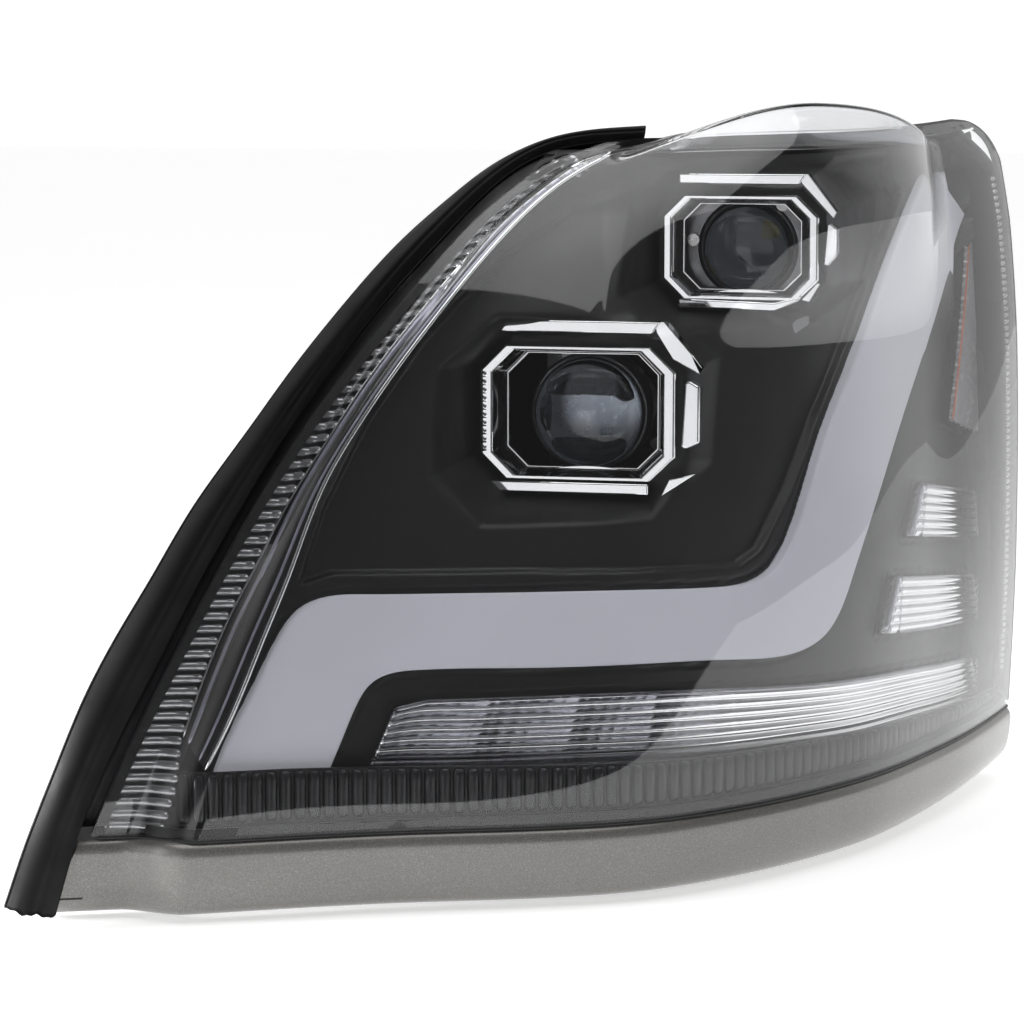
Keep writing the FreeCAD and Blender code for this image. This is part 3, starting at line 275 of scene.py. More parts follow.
def noise(nt, scale, detail=4.0, rough=0.55, stretch=None):
    n = nt.nodes.new("ShaderNodeTexNoise")
    n.inputs["Scale"].default_value = scale
    n.inputs["Detail"].default_value = detail
    n.inputs["Roughness"].default_value = rough
    src = texco(nt)
    if stretch:
        mp = nt.nodes.new("ShaderNodeMapping")
        mp.inputs["Scale"].default_value = stretch
        nt.links.new(src, mp.inputs["Vector"])
        src = mp.outputs["Vector"]
    nt.links.new(src, n.inputs["Vector"])
    return n.outputs["Fac"]


def ramp(nt, fac, stops):
    r = nt.nodes.new("ShaderNodeValToRGB")
    e = r.color_ramp.elements
    e[0].position, e[0].color = stops[0][0], (*stops[0][1], 1)
    e[1].position, e[1].color = stops[-1][0], (*stops[-1][1], 1)
    for p, c in stops[1:-1]:
        x = e.new(p)
        x.color = (*c, 1)
    nt.links.new(fac, r.inputs["Fac"])
    return r.outputs["Color"]


def maprange(nt, fac, a, b, lo=0.3, hi=0.7):
    n = nt.nodes.new("ShaderNodeMapRange")
    n.inputs["From Min"].default_value, n.inputs["From Max"].default_value = lo, hi
    n.inputs["To Min"].default_value, n.inputs["To Max"].default_value = a, b
    nt.links.new(fac, n.inputs["Value"])
    return n.outputs["Result"]


def bump(nt, bs, fac, strength, dist):
    b = nt.nodes.new("ShaderNodeBump")
    b.inputs["Strength"].default_value = strength
    b.inputs["Distance"].default_value = dist
    nt.links.new(fac, b.inputs["Height"])
    nt.links.new(b.outputs["Normal"], bs.inputs["Normal"])
    return b


def surface(name, c1, c2, scale, rough, grain=None, metal=0.0, coat=0.0, spec=0.5, sheen=0.0, fine=None, coat_rough=0.05):
    m, nt, bs, out = nodes_of(name)
    f = noise(nt, scale)
    nt.links.new(ramp(nt, f, [(0.3, c1), (0.7, c2)]), bs.inputs["Base Color"])
    nt.links.new(maprange(nt, noise(nt, scale * 2.3, 5), rough[0], rough[1]), bs.inputs["Roughness"])
    bs.inputs["Metallic"].default_value = metal
    bs.inputs["Coat Weight"].default_value = coat
    bs.inputs["Coat Roughness"].default_value = coat_rough
    bs.inputs["Specular IOR Level"].default_value = spec
    bs.inputs["Sheen Weight"].default_value = sheen
    if grain:
        bump(nt, bs, noise(nt, grain[0], 3), grain[1], grain[2])
    return m


def clear(name, tint, ior=1.5, rough=0.0, var=0.015, tint2=None, ripple=None):
    """Clear plastic or glass that lets the lamps reach what is behind it."""
    m, nt, bs, out = nodes_of(name)
    tint2 = tint2 or tuple(x * 0.985 for x in tint)
    nt.links.new(ramp(nt, noise(nt, 18.0), [(0.35, tint), (0.65, tint2)]), bs.inputs["Base Color"])
    nt.links.new(maprange(nt, noise(nt, 60.0, 6), rough, rough + var), bs.inputs["Roughness"])
    bs.inputs["Transmission Weight"].default_value = 1.0
    bs.inputs["IOR"].default_value = ior
    if ripple:
        bump(nt, bs, noise(nt, ripple[0], 2), ripple[1], ripple[2])
    tr = nt.nodes.new("ShaderNodeBsdfTransparent")
    tr.inputs["Color"].default_value = (*[0.9 * x for x in tint], 1)
    lp = nt.nodes.new("ShaderNodeLightPath")
    mx = nt.nodes.new("ShaderNodeMixShader")
    nt.links.new(lp.outputs["Is Shadow Ray"], mx.inputs["Fac"])
    nt.links.new(bs.outputs["BSDF"], mx.inputs[1])
    nt.links.new(tr.outputs["BSDF"], mx.inputs[2])
    nt.links.new(mx.outputs["Shader"], out.inputs["Surface"])
    return m


MAT = {}
MAT["lens_clear"] = clear("m_lens_clear", (0.985, 0.99, 1.0), 1.5, 0.0, 0.012)
MAT["clear_flute"] = clear("m_clear_flute", (0.93, 0.93, 0.97), 1.49, 0.02, 0.04)
MAT["lens_glass"] = clear("m_lens_glass", (0.72, 0.76, 0.82), 1.52, 0.0, 0.01)
MAT["side_reflector"] = surface("m_side_reflector", (0.42, 0.40, 0.42), (0.50, 0.47, 0.49), 30, (0.18, 0.3), (700, 0.25, 0.0008), coat=0.6)
MAT["sealant"] = surface("m_sealant", (0.012, 0.012, 0.013), (0.02, 0.02, 0.02), 90, (0.5, 0.7), (250, 0.3, 0.0004))
MAT["housing_black"] = surface("m_housing_black", (0.014, 0.014, 0.015), (0.024, 0.024, 0.026), 22, (0.42, 0.62), (900, 0.35, 0.0003))
MAT["bezel_grey"] = surface("m_bezel_grey", (0.014, 0.0137, 0.014), (0.018, 0.0177, 0.018), 14, (0.38, 0.48), (1400, 0.16, 0.0002), spec=0.45)
MAT["chrome"] = surface("m_chrome", (0.86, 0.86, 0.87), (0.92, 0.92, 0.92), 25, (0.03, 0.09), (40, 0.04, 0.0006), metal=1.0)
MAT["reflector_silver"] = surface("m_reflector_silver", (0.40, 0.40, 0.42), (0.58, 0.58, 0.60), 60, (0.12, 0.25), (600, 0.2, 0.0003), metal=1.0)
MAT["light_guide"] = surface("m_light_guide", (0.56, 0.56, 0.63), (0.60, 0.60, 0.67), 7, (0.36, 0.44), (1600, 0.05, 0.0001), spec=0.3)
# emission here is painted light: the unlit light bar glows faintly to brighten it where frontal light is low
for n_ in MAT["light_guide"].node_tree.nodes:
    if n_.type == "BSDF_PRINCIPLED":
        n_.inputs["Emission Color"].default_value = (0.93, 0.93, 1.0, 1)
        n_.inputs["Emission Strength"].default_value = 0.18
MAT["grey_metal"] = surface("m_grey_metal", (0.20, 0.20, 0.21), (0.30, 0.30, 0.31), 40, (0.28, 0.42), (500, 0.2, 0.0003), metal=0.9)
MAT["heat_sink"] = surface("m_heat_sink", (0.03, 0.03, 0.032), (0.06, 0.06, 0.063), 50, (0.35, 0.5), (800, 0.2, 0.0002), metal=0.8)
MAT["circuit_board"] = surface("m_circuit_board", (0.66, 0.68, 0.66), (0.74, 0.75, 0.73), 80, (0.3, 0.45), (900, 0.1, 0.0002))
MAT["led_chip"] = surface("m_led_chip", (0.80, 0.62, 0.10), (0.90, 0.74, 0.22), 300, (0.3, 0.5), (900, 0.2, 0.0002))
MAT["fan_black"] = surface("m_fan_black", (0.012, 0.012, 0.013), (0.022, 0.022, 0.024), 40, (0.35, 0.5), (900, 0.2, 0.0002))
MAT["screw_steel"] = surface("m_screw_steel", (0.48, 0.48, 0.50), (0.62, 0.61, 0.58), 120, (0.22, 0.4), (700, 0.2, 0.0002), metal=1.0)
MAT["brass"] = surface("m_brass", (0.62, 0.42, 0.15), (0.78, 0.56, 0.24), 120, (0.2, 0.35), (700, 0.2, 0.0002), metal=1.0)
MAT["cap_plastic"] = surface("m_cap_plastic", (0.018, 0.018, 0.02), (0.03, 0.03, 0.032), 30, (0.35, 0.55), (1100, 0.35, 0.0002))
MAT["adjuster_nylon"] = surface("m_adjuster_nylon", (0.60, 0.57, 0.48), (0.70, 0.67, 0.58), 60, (0.35, 0.5), (900, 0.2, 0.0002))
MAT["vent_membrane"] = surface("m_vent_membrane", (0.03, 0.03, 0.033), (0.05, 0.05, 0.052), 60, (0.5, 0.7), (1200, 0.3, 0.0002))

# dusty rubber: fine black grain with paler patches at random
m, nt, bs, out = nodes_of("m_seal_rubber")
big = noise(nt, 9.0, 6, 0.6)
nt.links.new(ramp(nt, big, [(0.35, (0.004, 0.004, 0.0045)), (0.62, (0.007, 0.007, 0.008)), (0.8, (0.018, 0.020, 0.025))]), bs.inputs["Base Color"])
nt.links.new(maprange(nt, noise(nt, 26.0, 6), 0.38, 0.72), bs.inputs["Roughness"])
bs.inputs["Specular IOR Level"].default_value = 0.22
bump(nt, bs, noise(nt, 900.0, 4), 0.3, 0.0003)
MAT["seal_rubber"] = m

# metallic flake paint
m, nt, bs, out = nodes_of("m_trim_paint")
vo = nt.nodes.new("ShaderNodeTexVoronoi")
vo.inputs["Scale"].default_value = 2600.0
nt.links.new(texco(nt), vo.inputs["Vector"])
sep = nt.nodes.new("ShaderNodeSeparateColor")
nt.links.new(vo.outputs["Color"], sep.inputs["Color"])
cl = ramp(nt, sep.outputs["Red"], [(0.0, (0.165, 0.160, 0.148)), (0.55, (0.205, 0.199, 0.186)), (0.9, (0.245, 0.239, 0.226)), (1.0, (0.36, 0.355, 0.34))])
cloud = ramp(nt, noise(nt, 30.0, 5), [(0.3, (0.94, 0.94, 0.94)), (0.7, (1.0, 1.0, 1.0))])
mixn = nt.nodes.new("ShaderNodeMix")
mixn.data_type = "RGBA"
mixn.blend_type = "MULTIPLY"
mixn.inputs["Factor"].default_value = 1.0
nt.links.new(cl, mixn.inputs["A"])
nt.links.new(cloud, mixn.inputs["B"])
nt.links.new(mixn.outputs["Result"], bs.inputs["Base Color"])
nt.links.new(maprange(nt, sep.outputs["Green"], 0.30, 0.46, 0.0, 1.0), bs.inputs["Roughness"])
bs.inputs["Metallic"].default_value = 0.45
bs.inputs["Coat Weight"].default_value = 1.0
bs.inputs["Coat Roughness"].default_value = 0.14
bump(nt, bs, sep.outputs["Blue"], 0.08, 0.0001)
MAT["trim_paint"] = m

MAT["rib_clear"] = clear("m_rib_clear", (0.80, 0.80, 0.82), 1.49, 0.03, 0.05)
MAT["rib_back"] = surface("m_rib_back", (0.10, 0.10, 0.105), (0.16, 0.16, 0.165), 60, (0.2, 0.32), (500, 0.1, 0.0003), metal=0.6)
MAT["rib_dark"] = surface("m_rib_dark", (0.014, 0.014, 0.016), (0.026, 0.026, 0.029), 60, (0.16, 0.26), (500, 0.1, 0.0003), coat=0.15, spec=0.35)
MAT["rib_pale"] = surface("m_rib_pale", (0.34, 0.34, 0.35), (0.50, 0.50, 0.51), 45, (0.08, 0.18), (500, 0.06, 0.0002), metal=0.6, coat=1.0, spec=0.8)
# lilac grey metal for the crease tubes: painted reflection streaks of the clear lens, not a finish of the lamp
MAT["rib_lilac"] = surface("m_rib_lilac", (0.34, 0.34, 0.42), (0.46, 0.46, 0.55), 45, (0.12, 0.22), (500, 0.06, 0.0002), metal=0.5, coat=1.0, spec=0.8)
MAT["amber_edge"] = surface("m_amber_edge", (0.60, 0.13, 0.04), (0.72, 0.20, 0.07), 60, (0.25, 0.35), (700, 0.1, 0.0003))
MAT["gloss_black"] = surface("m_gloss_black", (0.006, 0.006, 0.007), (0.010, 0.010, 0.011), 40, (0.06, 0.12), (500, 0.05, 0.0002), coat=0.6)
MAT["baffle_black"] = surface("m_baffle_black", (0.008, 0.008, 0.009), (0.014, 0.014, 0.015), 60, (0.3, 0.45), (900, 0.2, 0.0002))

for nm, ob in frame["nodes"].items():
    sl = next((x["material_slot"] for x in frame["record"]["subparts"] if x["node"] == nm), None)
    if sl in MAT:
        for k in range(max(1, len(ob.material_slots))):
            if not ob.material_slots:
                ob.data.materials.append(MAT[sl])
            else:
                ob.material_slots[k].material = MAT[sl]

# ------------------------------------------------------------------ outer lens
NU, NV = 300, 200
v = 0.5 - 0.5 * np.cos(np.pi * np.linspace(0, 1, NV))
v = np.interp(np.linspace(0, 1, NV), [0, 0.70, 1.0], [0, 0.90, 1.0]) * 0.6 + 0.4 * v
u = np.linspace(0, 1, NU) ** 1.15
T, U = np.meshgrid(T1 * v, u)
LS = sL(T) + (sR(T) - sL(T)) * U
LF = lens_point(LS, T)
lens = thick("lens_shell", LF, 3.0)
put(lens, "housing", MAT["lens_clear"], ("outer_lens",))

# ------------------------------------------------------------------ inner bezel as a relief over the lens surface
PLOW = (23.2 - XM, 46.7)
PHIGH = (111.9 - XM, 147.1)
YFL, YFH = 96.0 - YM, 186.0 - YM


def oct_sdf(x, z, c, hw, hh, ch, cx=0.0, cz=0.0):
    dx, dz = np.abs(x - c[0] - cx) - hw, np.abs(z - c[1] - cz) - hh
    d1 = np.maximum(dx, dz)
    d2 = (dx + dz + ch) / math.sqrt(2)
    return np.maximum(d1, d2)


DRL_IN = [(17.1, 36.1), (22.2, 49.4), (42.4, 90.5), (58, 121.0), (70, 135.5), (84.0, 141.3), (110, 142.3), (150, 141.7), (197.3, 141.4),
          (287.7, 139.3), (350.0, 135.5), (382.0, 136.6), (400.0, 143.2), (412.0, 154.3), (430.4, 182.8), (455.3, 226.1),
          (491.0, 266.3), (534.9, 309.7), (569.8, 339.0), (596.5, 357.8), (618.1, 370.4), (652, 386)]
DRL_OUT = [(85.1, 32.1), (95.0, 55.8), (103.0, 75.0), (112.0, 88.0), (124.0, 93.5), (140.0, 95.0), (165.0, 95.3), (197.1, 94.8), (240, 94.2),
           (287.6, 93.3), (354.9, 89.2), (400.6, 85.6), (430.9, 87.6), (450.8, 94.0), (466.8, 106.0), (484.0, 128.0), (518.2, 171.2), (554.3, 213.8),
           (611.1, 270.6), (661.3, 314.8), (700.0, 342.0), (722, 352)]
din, dou = resample(DRL_IN, 160), resample(DRL_OUT, 160)


def poly_dist(s, t, poly):
    """Signed distance to a closed (s, t) polygon, negative inside."""
    P = np.asarray(poly, float)
    d = np.full(s.shape, 1e9)
    inside = np.zeros(s.shape, bool)
    n = len(P)
    for i in range(n):
        a, b = P[i], P[(i + 1) % n]
        e = b - a
        ws, wt = s - a[0], t - a[1]
        k = np.clip((ws * e[0] + wt * e[1]) / max(e @ e, 1e-9), 0, 1)
        d = np.minimum(d, (ws - e[0] * k) ** 2 + (wt - e[1] * k) ** 2)
        c = ((a[1] <= t) & (b[1] > t)) | ((b[1] <= t) & (a[1] > t))
        with np.errstate(divide="ignore", invalid="ignore"):
            x = a[0] + (t - a[1]) / (b[1] - a[1] if b[1] != a[1] else 1e-9) * e[0]
        inside ^= c & (s < x)
    return np.where(inside, -1, 1) * np.sqrt(d)


TT = resample([(125.1, 71.2), (140.0, 74.9), (160, 75.6), (201.4, 75.9), (262.7, 75.7), (334.4, 72.0), (411.0, 65.2), (473.1, 59.8), (574.1, 51.4), (660, 43.0), (712, 37.5)], 240)
TB = resample([(109.2, 34.2), (130, 33.4), (152.3, 33.0), (196.9, 33.1), (262.7, 32.7), (341.3, 29.7), (418.1, 26.7), (473.7, 23.7), (574.9, 18.7), (660, 13.0), (712, 10.5)], 240)
SM_LO = [(552.5, 117.6), (712, 97.0), (712, 66.0), (531.2, 82.8)]
SM_UP = [(595.2, 174.2), (712, 155.0), (712, 124.0), (573.3, 142.5)]
SREF = [(714, 336.0), (722, 335.0), (716, 197.0), (648, 212.6)]
drl_poly = np.concatenate([din[::4], dou[::-4]])
turn_poly = np.concatenate([TT[::8], TB[::-8]])
# the flat field above the light bar sits a step deeper than the border that frames it
FIELD = [(72.0, 152.0), (90.0, 157.0), (199.8, 155.9), (300.0, 152.0), (372.0, 149.0), (392.0, 157.0), (421.2, 190.7), (452.6, 236.4), (480, 266),
         (509.7, 297.2), (567.6, 350.4), (600.0, 376.0), (560, 398), (300, 398), (245, 385), (190, 350), (145, 300), (112, 250), (86, 195)]

BN, BM = 430, 230
tb = np.linspace(8.0, 404.0, BM)
Tb, Ub = np.meshgrid(tb, np.linspace(0, 1, BN))
sa = sL(Tb) + wc_of(Tb) * 0.80 * np.sqrt(1 + slopeL(Tb) ** 2)
sa = np.minimum(sa, 250.0)
sb = sR(Tb) - 5
Sb = sa + (sb - sa) * Ub
dd = poly_dist(Sb, Tb, drl_poly)
dtn = poly_dist(Sb, Tb, turn_poly)
dfi = poly_dist(Sb, Tb, FIELD)
d1, d2, d3 = poly_dist(Sb, Tb, SM_LO), poly_dist(Sb, Tb, SM_UP), poly_dist(Sb, Tb, SREF)
D = np.full(Sb.shape, 27.0)
D += 7.0 * sm((2.5 - dfi) / 3.0)                        # recessed field
D += 9.0 * sm((0.2 - dd) / 2.0)                         # trough under the light bar
D += 12.0 * sm((0.2 - dtn) / 2.0)
for dx in (d1, d2, d3):
    D += 9.0 * sm((0.2 - dx) / 2.0)
    D += 1.6 * sm(1 - np.abs(dx - 4.0) / 1.2)            # fine groove round each marker
D += 1.8 * sm(1 - np.abs(dd - 3.2) / 1.3)
D += 1.5 * sm(1 - np.abs(dtn - 3.0) / 1.3)
wi = edge_w(Sb, Tb) - wc_of(Tb) * 0.80
D -= 10.0 * (1 - sm(wi / 16.0)) * (1 - 0.6 * Tb / T1)
D = D + np.maximum(front_d(Sb, Tb), 0) * 0.6
D -= 14.0 * sm((Tb - 382) / 24.0)
D -= 15.0 * (1 - sm((sR(Tb) - Sb - 4) / 10.0))
PB = S(Sb, Tb, D)
sl = oct_sdf(PB[..., 0], PB[..., 2], PLOW, 61, 44, 20, -1, 2)
sh = oct_sdf(PB[..., 0], PB[..., 2], PHIGH, 50, 34.5, 14, -2, 1.5)
# pods: the moulding falls back (or comes forward) to meet the plane of each chrome surround
wl = 1 - sm((sl - 3.0) / 17.0)
wh = 1 - sm((sh - 3.0) / 15.0)
PB[..., 1] = PB[..., 1] * (1 - wl) + (YFL + 6.0) * wl
PB[..., 1] = PB[..., 1] * (1 - wh) + (YFH + 5.0) * wh
q = quads(BN, BM)
cen_l = sl.ravel()[q].mean(1)
cen_h = sh.ravel()[q].mean(1)
q = q[(cen_l > -4.5) & (cen_h > -4.0)]
bez = new_obj("bezel_relief", PB, q)
put(bez, "housing", MAT["bezel_grey"], ("inner_bezel",))

# ------------------------------------------------------------------ light bar
def strip(name, A, Bp, front, back, prof, nk=24, ends=3.0):
    """Bar between two matched edge lines, with a rounded section and rounded ends."""
    n = len(A)
    k = np.concatenate([[0], 0.5 - 0.5 * np.cos(np.pi * np.linspace(0, 1, nk)), [1]])
    A3, B3 = A[:, None, :], Bp[:, None, :]
    st = A3 + (B3 - A3) * k[None, :, None]
    width = np.linalg.norm(Bp - A, axis=1)[:, None]
    e = np.minimum(k, 1 - k)[None, :] * width
    L = np.concatenate([[0], np.cumsum(np.linalg.norm(np.diff((A + Bp) / 2, axis=0), axis=1))])
    f = np.minimum(L, L[-1] - L)[:, None]
    r = prof
    def drop(x):
        y = np.clip(x / r, 0, 1)
        return r * (1 - np.sqrt(1 - (1 - y) ** 2))
    d = front + drop(e) + drop(f + 0 * e)
    d[:, 0] = back
    d[:, -1] = back
    return st, d


st, d = strip("drl", din, dou, 19.5, 27.5, 2.2)
F = S(st[..., 0], st[..., 1], d)
Bk = S(st[..., 0], st[..., 1], np.full(d.shape, 28.5))
drl = slab("daytime_light_guide", F, Bk, sharp=False)
put(drl, "housing", MAT["light_guide"], ("drl_light_bar", "drl_reflector_tray", "drl_circuit_strip"))


# ------------------------------------------------------------------ fluted strips: clear front with rows of flutes, bright cells behind
def fluted(name, A, Bp, rows, cells, d0, replaces):
    n = len(A)
    kk = np.linspace(0, 1, rows * 10 + 1)
    st = A[:, None, :] + (Bp - A)[:, None, :] * kk[None, :, None]
    width = np.linalg.norm(Bp - A, axis=1)[:, None]
    fl = np.abs(np.sin(np.pi * rows * kk))[None, :] ** 0.8
    L = np.concatenate([[0], np.cumsum(np.linalg.norm(np.diff((A + Bp) / 2, axis=0), axis=1))])
    d = d0 + 1.0 - 1.5 * fl * np.minimum(1, width / 20.0) + 0 * L[:, None]
    F = S(st[..., 0], st[..., 1], d)
    Bk = S(st[..., 0], st[..., 1], np.full(d.shape, d0 + 3.2))
    o = slab(name + "_fluted_front", F, Bk, sharp=False)
    put(o, "housing", MAT["clear_flute"], replaces[:1])
    # metallised cells: one shallow dish per light source with stepped facets
    kk = np.linspace(0.0, 1.0, 61)
    m2 = np.linspace(0, 1, cells * 24 + 1)
    Ai = np.stack([np.interp(m2, np.linspace(0, 1, n), A[:, c]) for c in (0, 1)], 1)
    Bi = np.stack([np.interp(m2, np.linspace(0, 1, n), Bp[:, c]) for c in (0, 1)], 1)
    st = Ai[:, None, :] + (Bi - Ai)[:, None, :] * kk[None, :, None]
    ph = (m2 * cells) % 1.0
    dish = 1 - (2 * ph - 1) ** 2
    step = np.floor(kk * rows) / rows
    fr = kk * rows - np.floor(kk * rows)
    d = d0 + 5.2 + 4.5 * dish[:, None] * (0.55 + 0.45 * np.sin(np.pi * kk))[None, :] + 1.6 * fr[None, :] + 0.35 * np.sin(ph * 2 * np.pi * 6)[:, None]
    F = S(st[..., 0], st[..., 1], d)
    o = thick(name + "_cell_reflector", F, 0.8)
    put(o, "housing", MAT["reflector_silver"], replaces[1:])
    # outline of the strip, computed but not used
    ring = np.concatenate([A, Bp[::-1]])
    return o


def rim_tube(name, poly, d0, w, h, material):
    """Thin raised frame that follows a closed (s, t) outline."""
    P = np.asarray(poly, float)
    L = np.concatenate([[0], np.cumsum(np.linalg.norm(np.diff(np.vstack([P, P[:1]]), axis=0), axis=1))])
    Q = np.vstack([P, P[:1]])
    n = int(max(60, L[-1] / 3.0))
    s = np.linspace(0, L[-1], n, endpoint=False)
    X = np.stack([np.interp(s, L, Q[:, c]) for c in (0, 1)], 1)
    tg = np.roll(X, -1, 0) - np.roll(X, 1, 0)
    tg /= np.maximum(np.linalg.norm(tg, axis=1, keepdims=True), 1e-9)
    nr = np.stack([-tg[:, 1], tg[:, 0]], 1)
    sec = [(-w / 2, h), (-w / 2, 0.3), (-w / 2 + 0.3, 0), (w / 2 - 0.3, 0), (w / 2, 0.3), (w / 2, h)]
    V = []
    for a, b in sec:
        st = X + nr * a
        V.append(S(st[:, 0], st[:, 1], np.full(n, d0 + b)))
    V = np.stack(V, 1)
    Fc = []
    k = len(sec)
    for i in range(n):
        i2 = (i + 1) % n
        for j in range(k):
            j2 = (j + 1) % k
            Fc.append([i * k + j, i2 * k + j, i2 * k + j2, i * k + j2])
    o = new_obj(name, V, Fc, False)
    put(o, "housing", material)
    return o


fluted("turn_strip", TT, TB, 7, 10, 18.0, ("turn_signal_lens", "turn_signal_reflector", "turn_signal_leds"))
rim_tube("turn_strip_rim", turn_poly, 17.2, 2.0, 4.5, MAT["clear_flute"])


def edge_pair(c, n=80):
    k = np.linspace(0, 1, n)[:, None]
    a, b, c2, d = map(np.array, c)
    return a + (b - a) * k, d + (c2 - d) * k


A, Bp = edge_pair(SM_LO)
fluted("side_marker_lower", A, Bp, 6, 4, 18.0, ("side_marker_lens_lower", "side_marker_leds"))
A2, B2 = edge_pair(SM_UP)
fluted("side_marker_upper", A2, B2, 6, 4, 18.0, ("side_marker_lens_upper",))
rim_tube("side_marker_lower_rim", np.concatenate([A[::8], Bp[::-8]]), 17.2, 1.8, 4.0, MAT["clear_flute"])
rim_tube("side_marker_upper_rim", np.concatenate([A2[::8], B2[::-8]]), 17.2, 1.8, 4.0, MAT["clear_flute"])

# side reflector: prism grid on a wedge, warm edge on its inboard side
k = np.linspace(0, 1, 90)
ar = np.array([SREF[0], SREF[1]])
lo_ = np.array([SREF[3], SREF[2]])
E0 = lo_[0] + (ar[0] - lo_[0]) * k[:, None]
E1 = lo_[1] + (ar[1] - lo_[1]) * k[:, None]
kk = np.linspace(0, 1, 40)
st = E0[:, None, :] + (E1 - E0)[:, None, :] * kk[None, :, None]
d = 17.5 + 0.35 * np.sin(st[..., 0] * 2.4) + 0.35 * np.sin(st[..., 1] * 2.4)
o = thick("side_reflector_prisms", S(st[..., 0], st[..., 1], d)[:, ::-1], 2.5)
put(o, "housing", MAT["side_reflector"], ("side_reflector",))
E2 = E0 + np.array([3.2, 0.0])
st = E0[:, None, :] + (E2 - E0)[:, None, :] * np.linspace(0, 1, 6)[None, :, None]
o = thick("side_reflector_warm_edge", S(st[..., 0], st[..., 1], 16.4 + 0.6 * (2 * np.linspace(0, 1, 6) - 1)[None, :] ** 2 + 0 * st[..., 0])[:, ::-1], 1.6)
put(o, "housing", MAT["amber_edge"])

# ------------------------------------------------------------------ ribbed bands behind the lens edge
def rods(name, a, b, width, height, d0, material, na=14, nb=8):
    """Half-round rods: each from (s, t) a to b, width across, standing forward of d0 (a function of s, t)."""
    V, Fc = [], []
    for p0, p1 in zip(a, b):
        p0, p1 = np.array(p0, float), np.array(p1, float)
        L = np.linalg.norm(p1 - p0)
        tg = (p1 - p0) / L
        nr = np.array([-tg[1], tg[0]])
        k = 0.5 - 0.5 * np.cos(np.pi * np.linspace(0, 1, na))
        e = np.minimum(k, 1 - k) * L / (width * 0.5)
        end = np.sqrt(np.clip(1 - (1 - np.clip(e, 0, 1)) ** 2, 0, 1))
        th = np.pi * np.linspace(0, 1, nb)
        st = p0[None, None, :] + tg[None, None, :] * (k * L)[:, None, None] + nr[None, None, :] * (np.cos(th)[None, :] * (0.35 + 0.65 * end)[:, None] * width / 2)[..., None]
        d = d0(st[..., 0], st[..., 1]) - height * np.sin(th)[None, :] * end[:, None]
        base_i = len(V) * na * nb
        V.append(S(st[..., 0], st[..., 1], d).reshape(-1, 3))
        Fc.append(quads(na, nb, base_i))
    o = new_obj(name, np.concatenate(V), np.concatenate(Fc))
    put(o, "housing", material)
    return o


def tube(name, st, dvals, r, material, body="housing", nk=10, flat=1.0):
    """Thin round tube that follows an (s, t) path; also used for the painted highlight streaks along the lens crease.
    """
    X = np.asarray(st, float)
    P = S(X[:, 0], X[:, 1], dvals)
    tg = np.gradient(P, axis=0)
    tg /= np.linalg.norm(tg, axis=1, keepdims=True)
    n1 = unit_in(X[:, 0], X[:, 1])
    n2 = np.cross(tg, n1)
    n2 /= np.linalg.norm(n2, axis=1, keepdims=True)
    a = 2 * np.pi * np.arange(nk) / nk
    end = np.ones(len(P))
    end[0] = end[-1] = 0.05
    V = P[:, None, :] + (np.cos(a)[None, :, None] * n1[:, None, :] * flat + np.sin(a)[None, :, None] * n2[:, None, :]) * r * end[:, None, None]
    Fc = []
    for i in range(len(P) - 1):
        for j in range(nk):
            j2 = (j + 1) % nk
            Fc.append([i * nk + j, (i + 1) * nk + j, (i + 1) * nk + j2, i * nk + j2])
    o = new_obj(name, V, Fc)
    put(o, body, material)
    return o


step = lambda s_, t_: np.maximum(front_d(s_, np.clip(t_, 0, T1)), -1e9)
sk = np.arange(-3.0, 716.0, 8.7)
sk = sk[edge_w(sk, np.full(sk.shape, 20.0)) > 30]
cap = np.interp(sk, [-20, 60, 430, 540, 640, 737], [38.3, 38.0, 29.5, 24.5, 19.0, 12.5])
rods("lower_rib_rods", [(x, 7.6) for x in sk], [(x, c) for x, c in zip(sk, cap)], 7.5, 3.4, lambda s_, t_: step(s_, t_) + 9.4, MAT["rib_dark"])
sg = np.linspace(-22, 735, 240)
capg = np.interp(sg, [-20, 60, 430, 540, 640, 737], [39.3, 39.0, 30.5, 25.5, 20.0, 13.5])
kk = np.linspace(0, 1, 8)
Sg, Kg = np.meshgrid(sg, kk, indexing="ij")
Tg = 1.0 + (capg[:, None] - 1.0) * Kg
keep = edge_w(sg, np.full(sg.shape, 20.0)) > 24
o = thick("lower_rib_backing", S(Sg, Tg, 9.8 + step(Sg, Tg))[keep], 1.2)
put(o, "housing", MAT["baffle_black"])
for q_, (tt_, rr_) in enumerate(((5.6, 0.55), (3.6, 0.45))):
    tube("lower_rib_line_%d" % q_, np.stack([sg[keep], np.full(keep.sum(), tt_)], 1), 8.2 + step(sg[keep], np.full(keep.sum(), tt_)), rr_, MAT["rib_dark"])

RIB_T = [4.0, 30.0, 60.3, 104.8, 133.5, 163.1, 196.8, 229.4, 260.7, 287.2, 311.1, 336.1, 363.7, 381.7, 391.4, 401.0]
RIB_S = [-14.0, -6.0, -2.0, 14.4, 27.2, 43.1, 60.9, 81.7, 102.5, 122.4, 142.4, 164.6, 192.3, 216.0, 232.0, 252.7]
tk = [5.0]
while tk[-1] < 399.0:
    m_ = float(slopeL(np.array(tk[-1])))
    tk.append(tk[-1] + 7.5 / math.sqrt(1 + max(0.0, m_ - 0.6) ** 2))
tk = np.array(tk)
ms_ = np.clip(slopeL(tk) - 0.45, 0.05, 2.5)
s0_ = sL(tk) + 1.0
s1_ = np.interp(tk, RIB_T, RIB_S) + 0.5
len_ = s1_ - s0_
drop_ = len_ * ms_ * 0.35
ra = [(a_, t_ + dr_ * 0.5) for a_, t_, dr_ in zip(s0_ + 0.3 * drop_, tk, drop_)]
rb = [(b_, t_ - dr_ * 0.5) for b_, t_, dr_ in zip(s1_ - 0.3 * drop_, tk, drop_)]
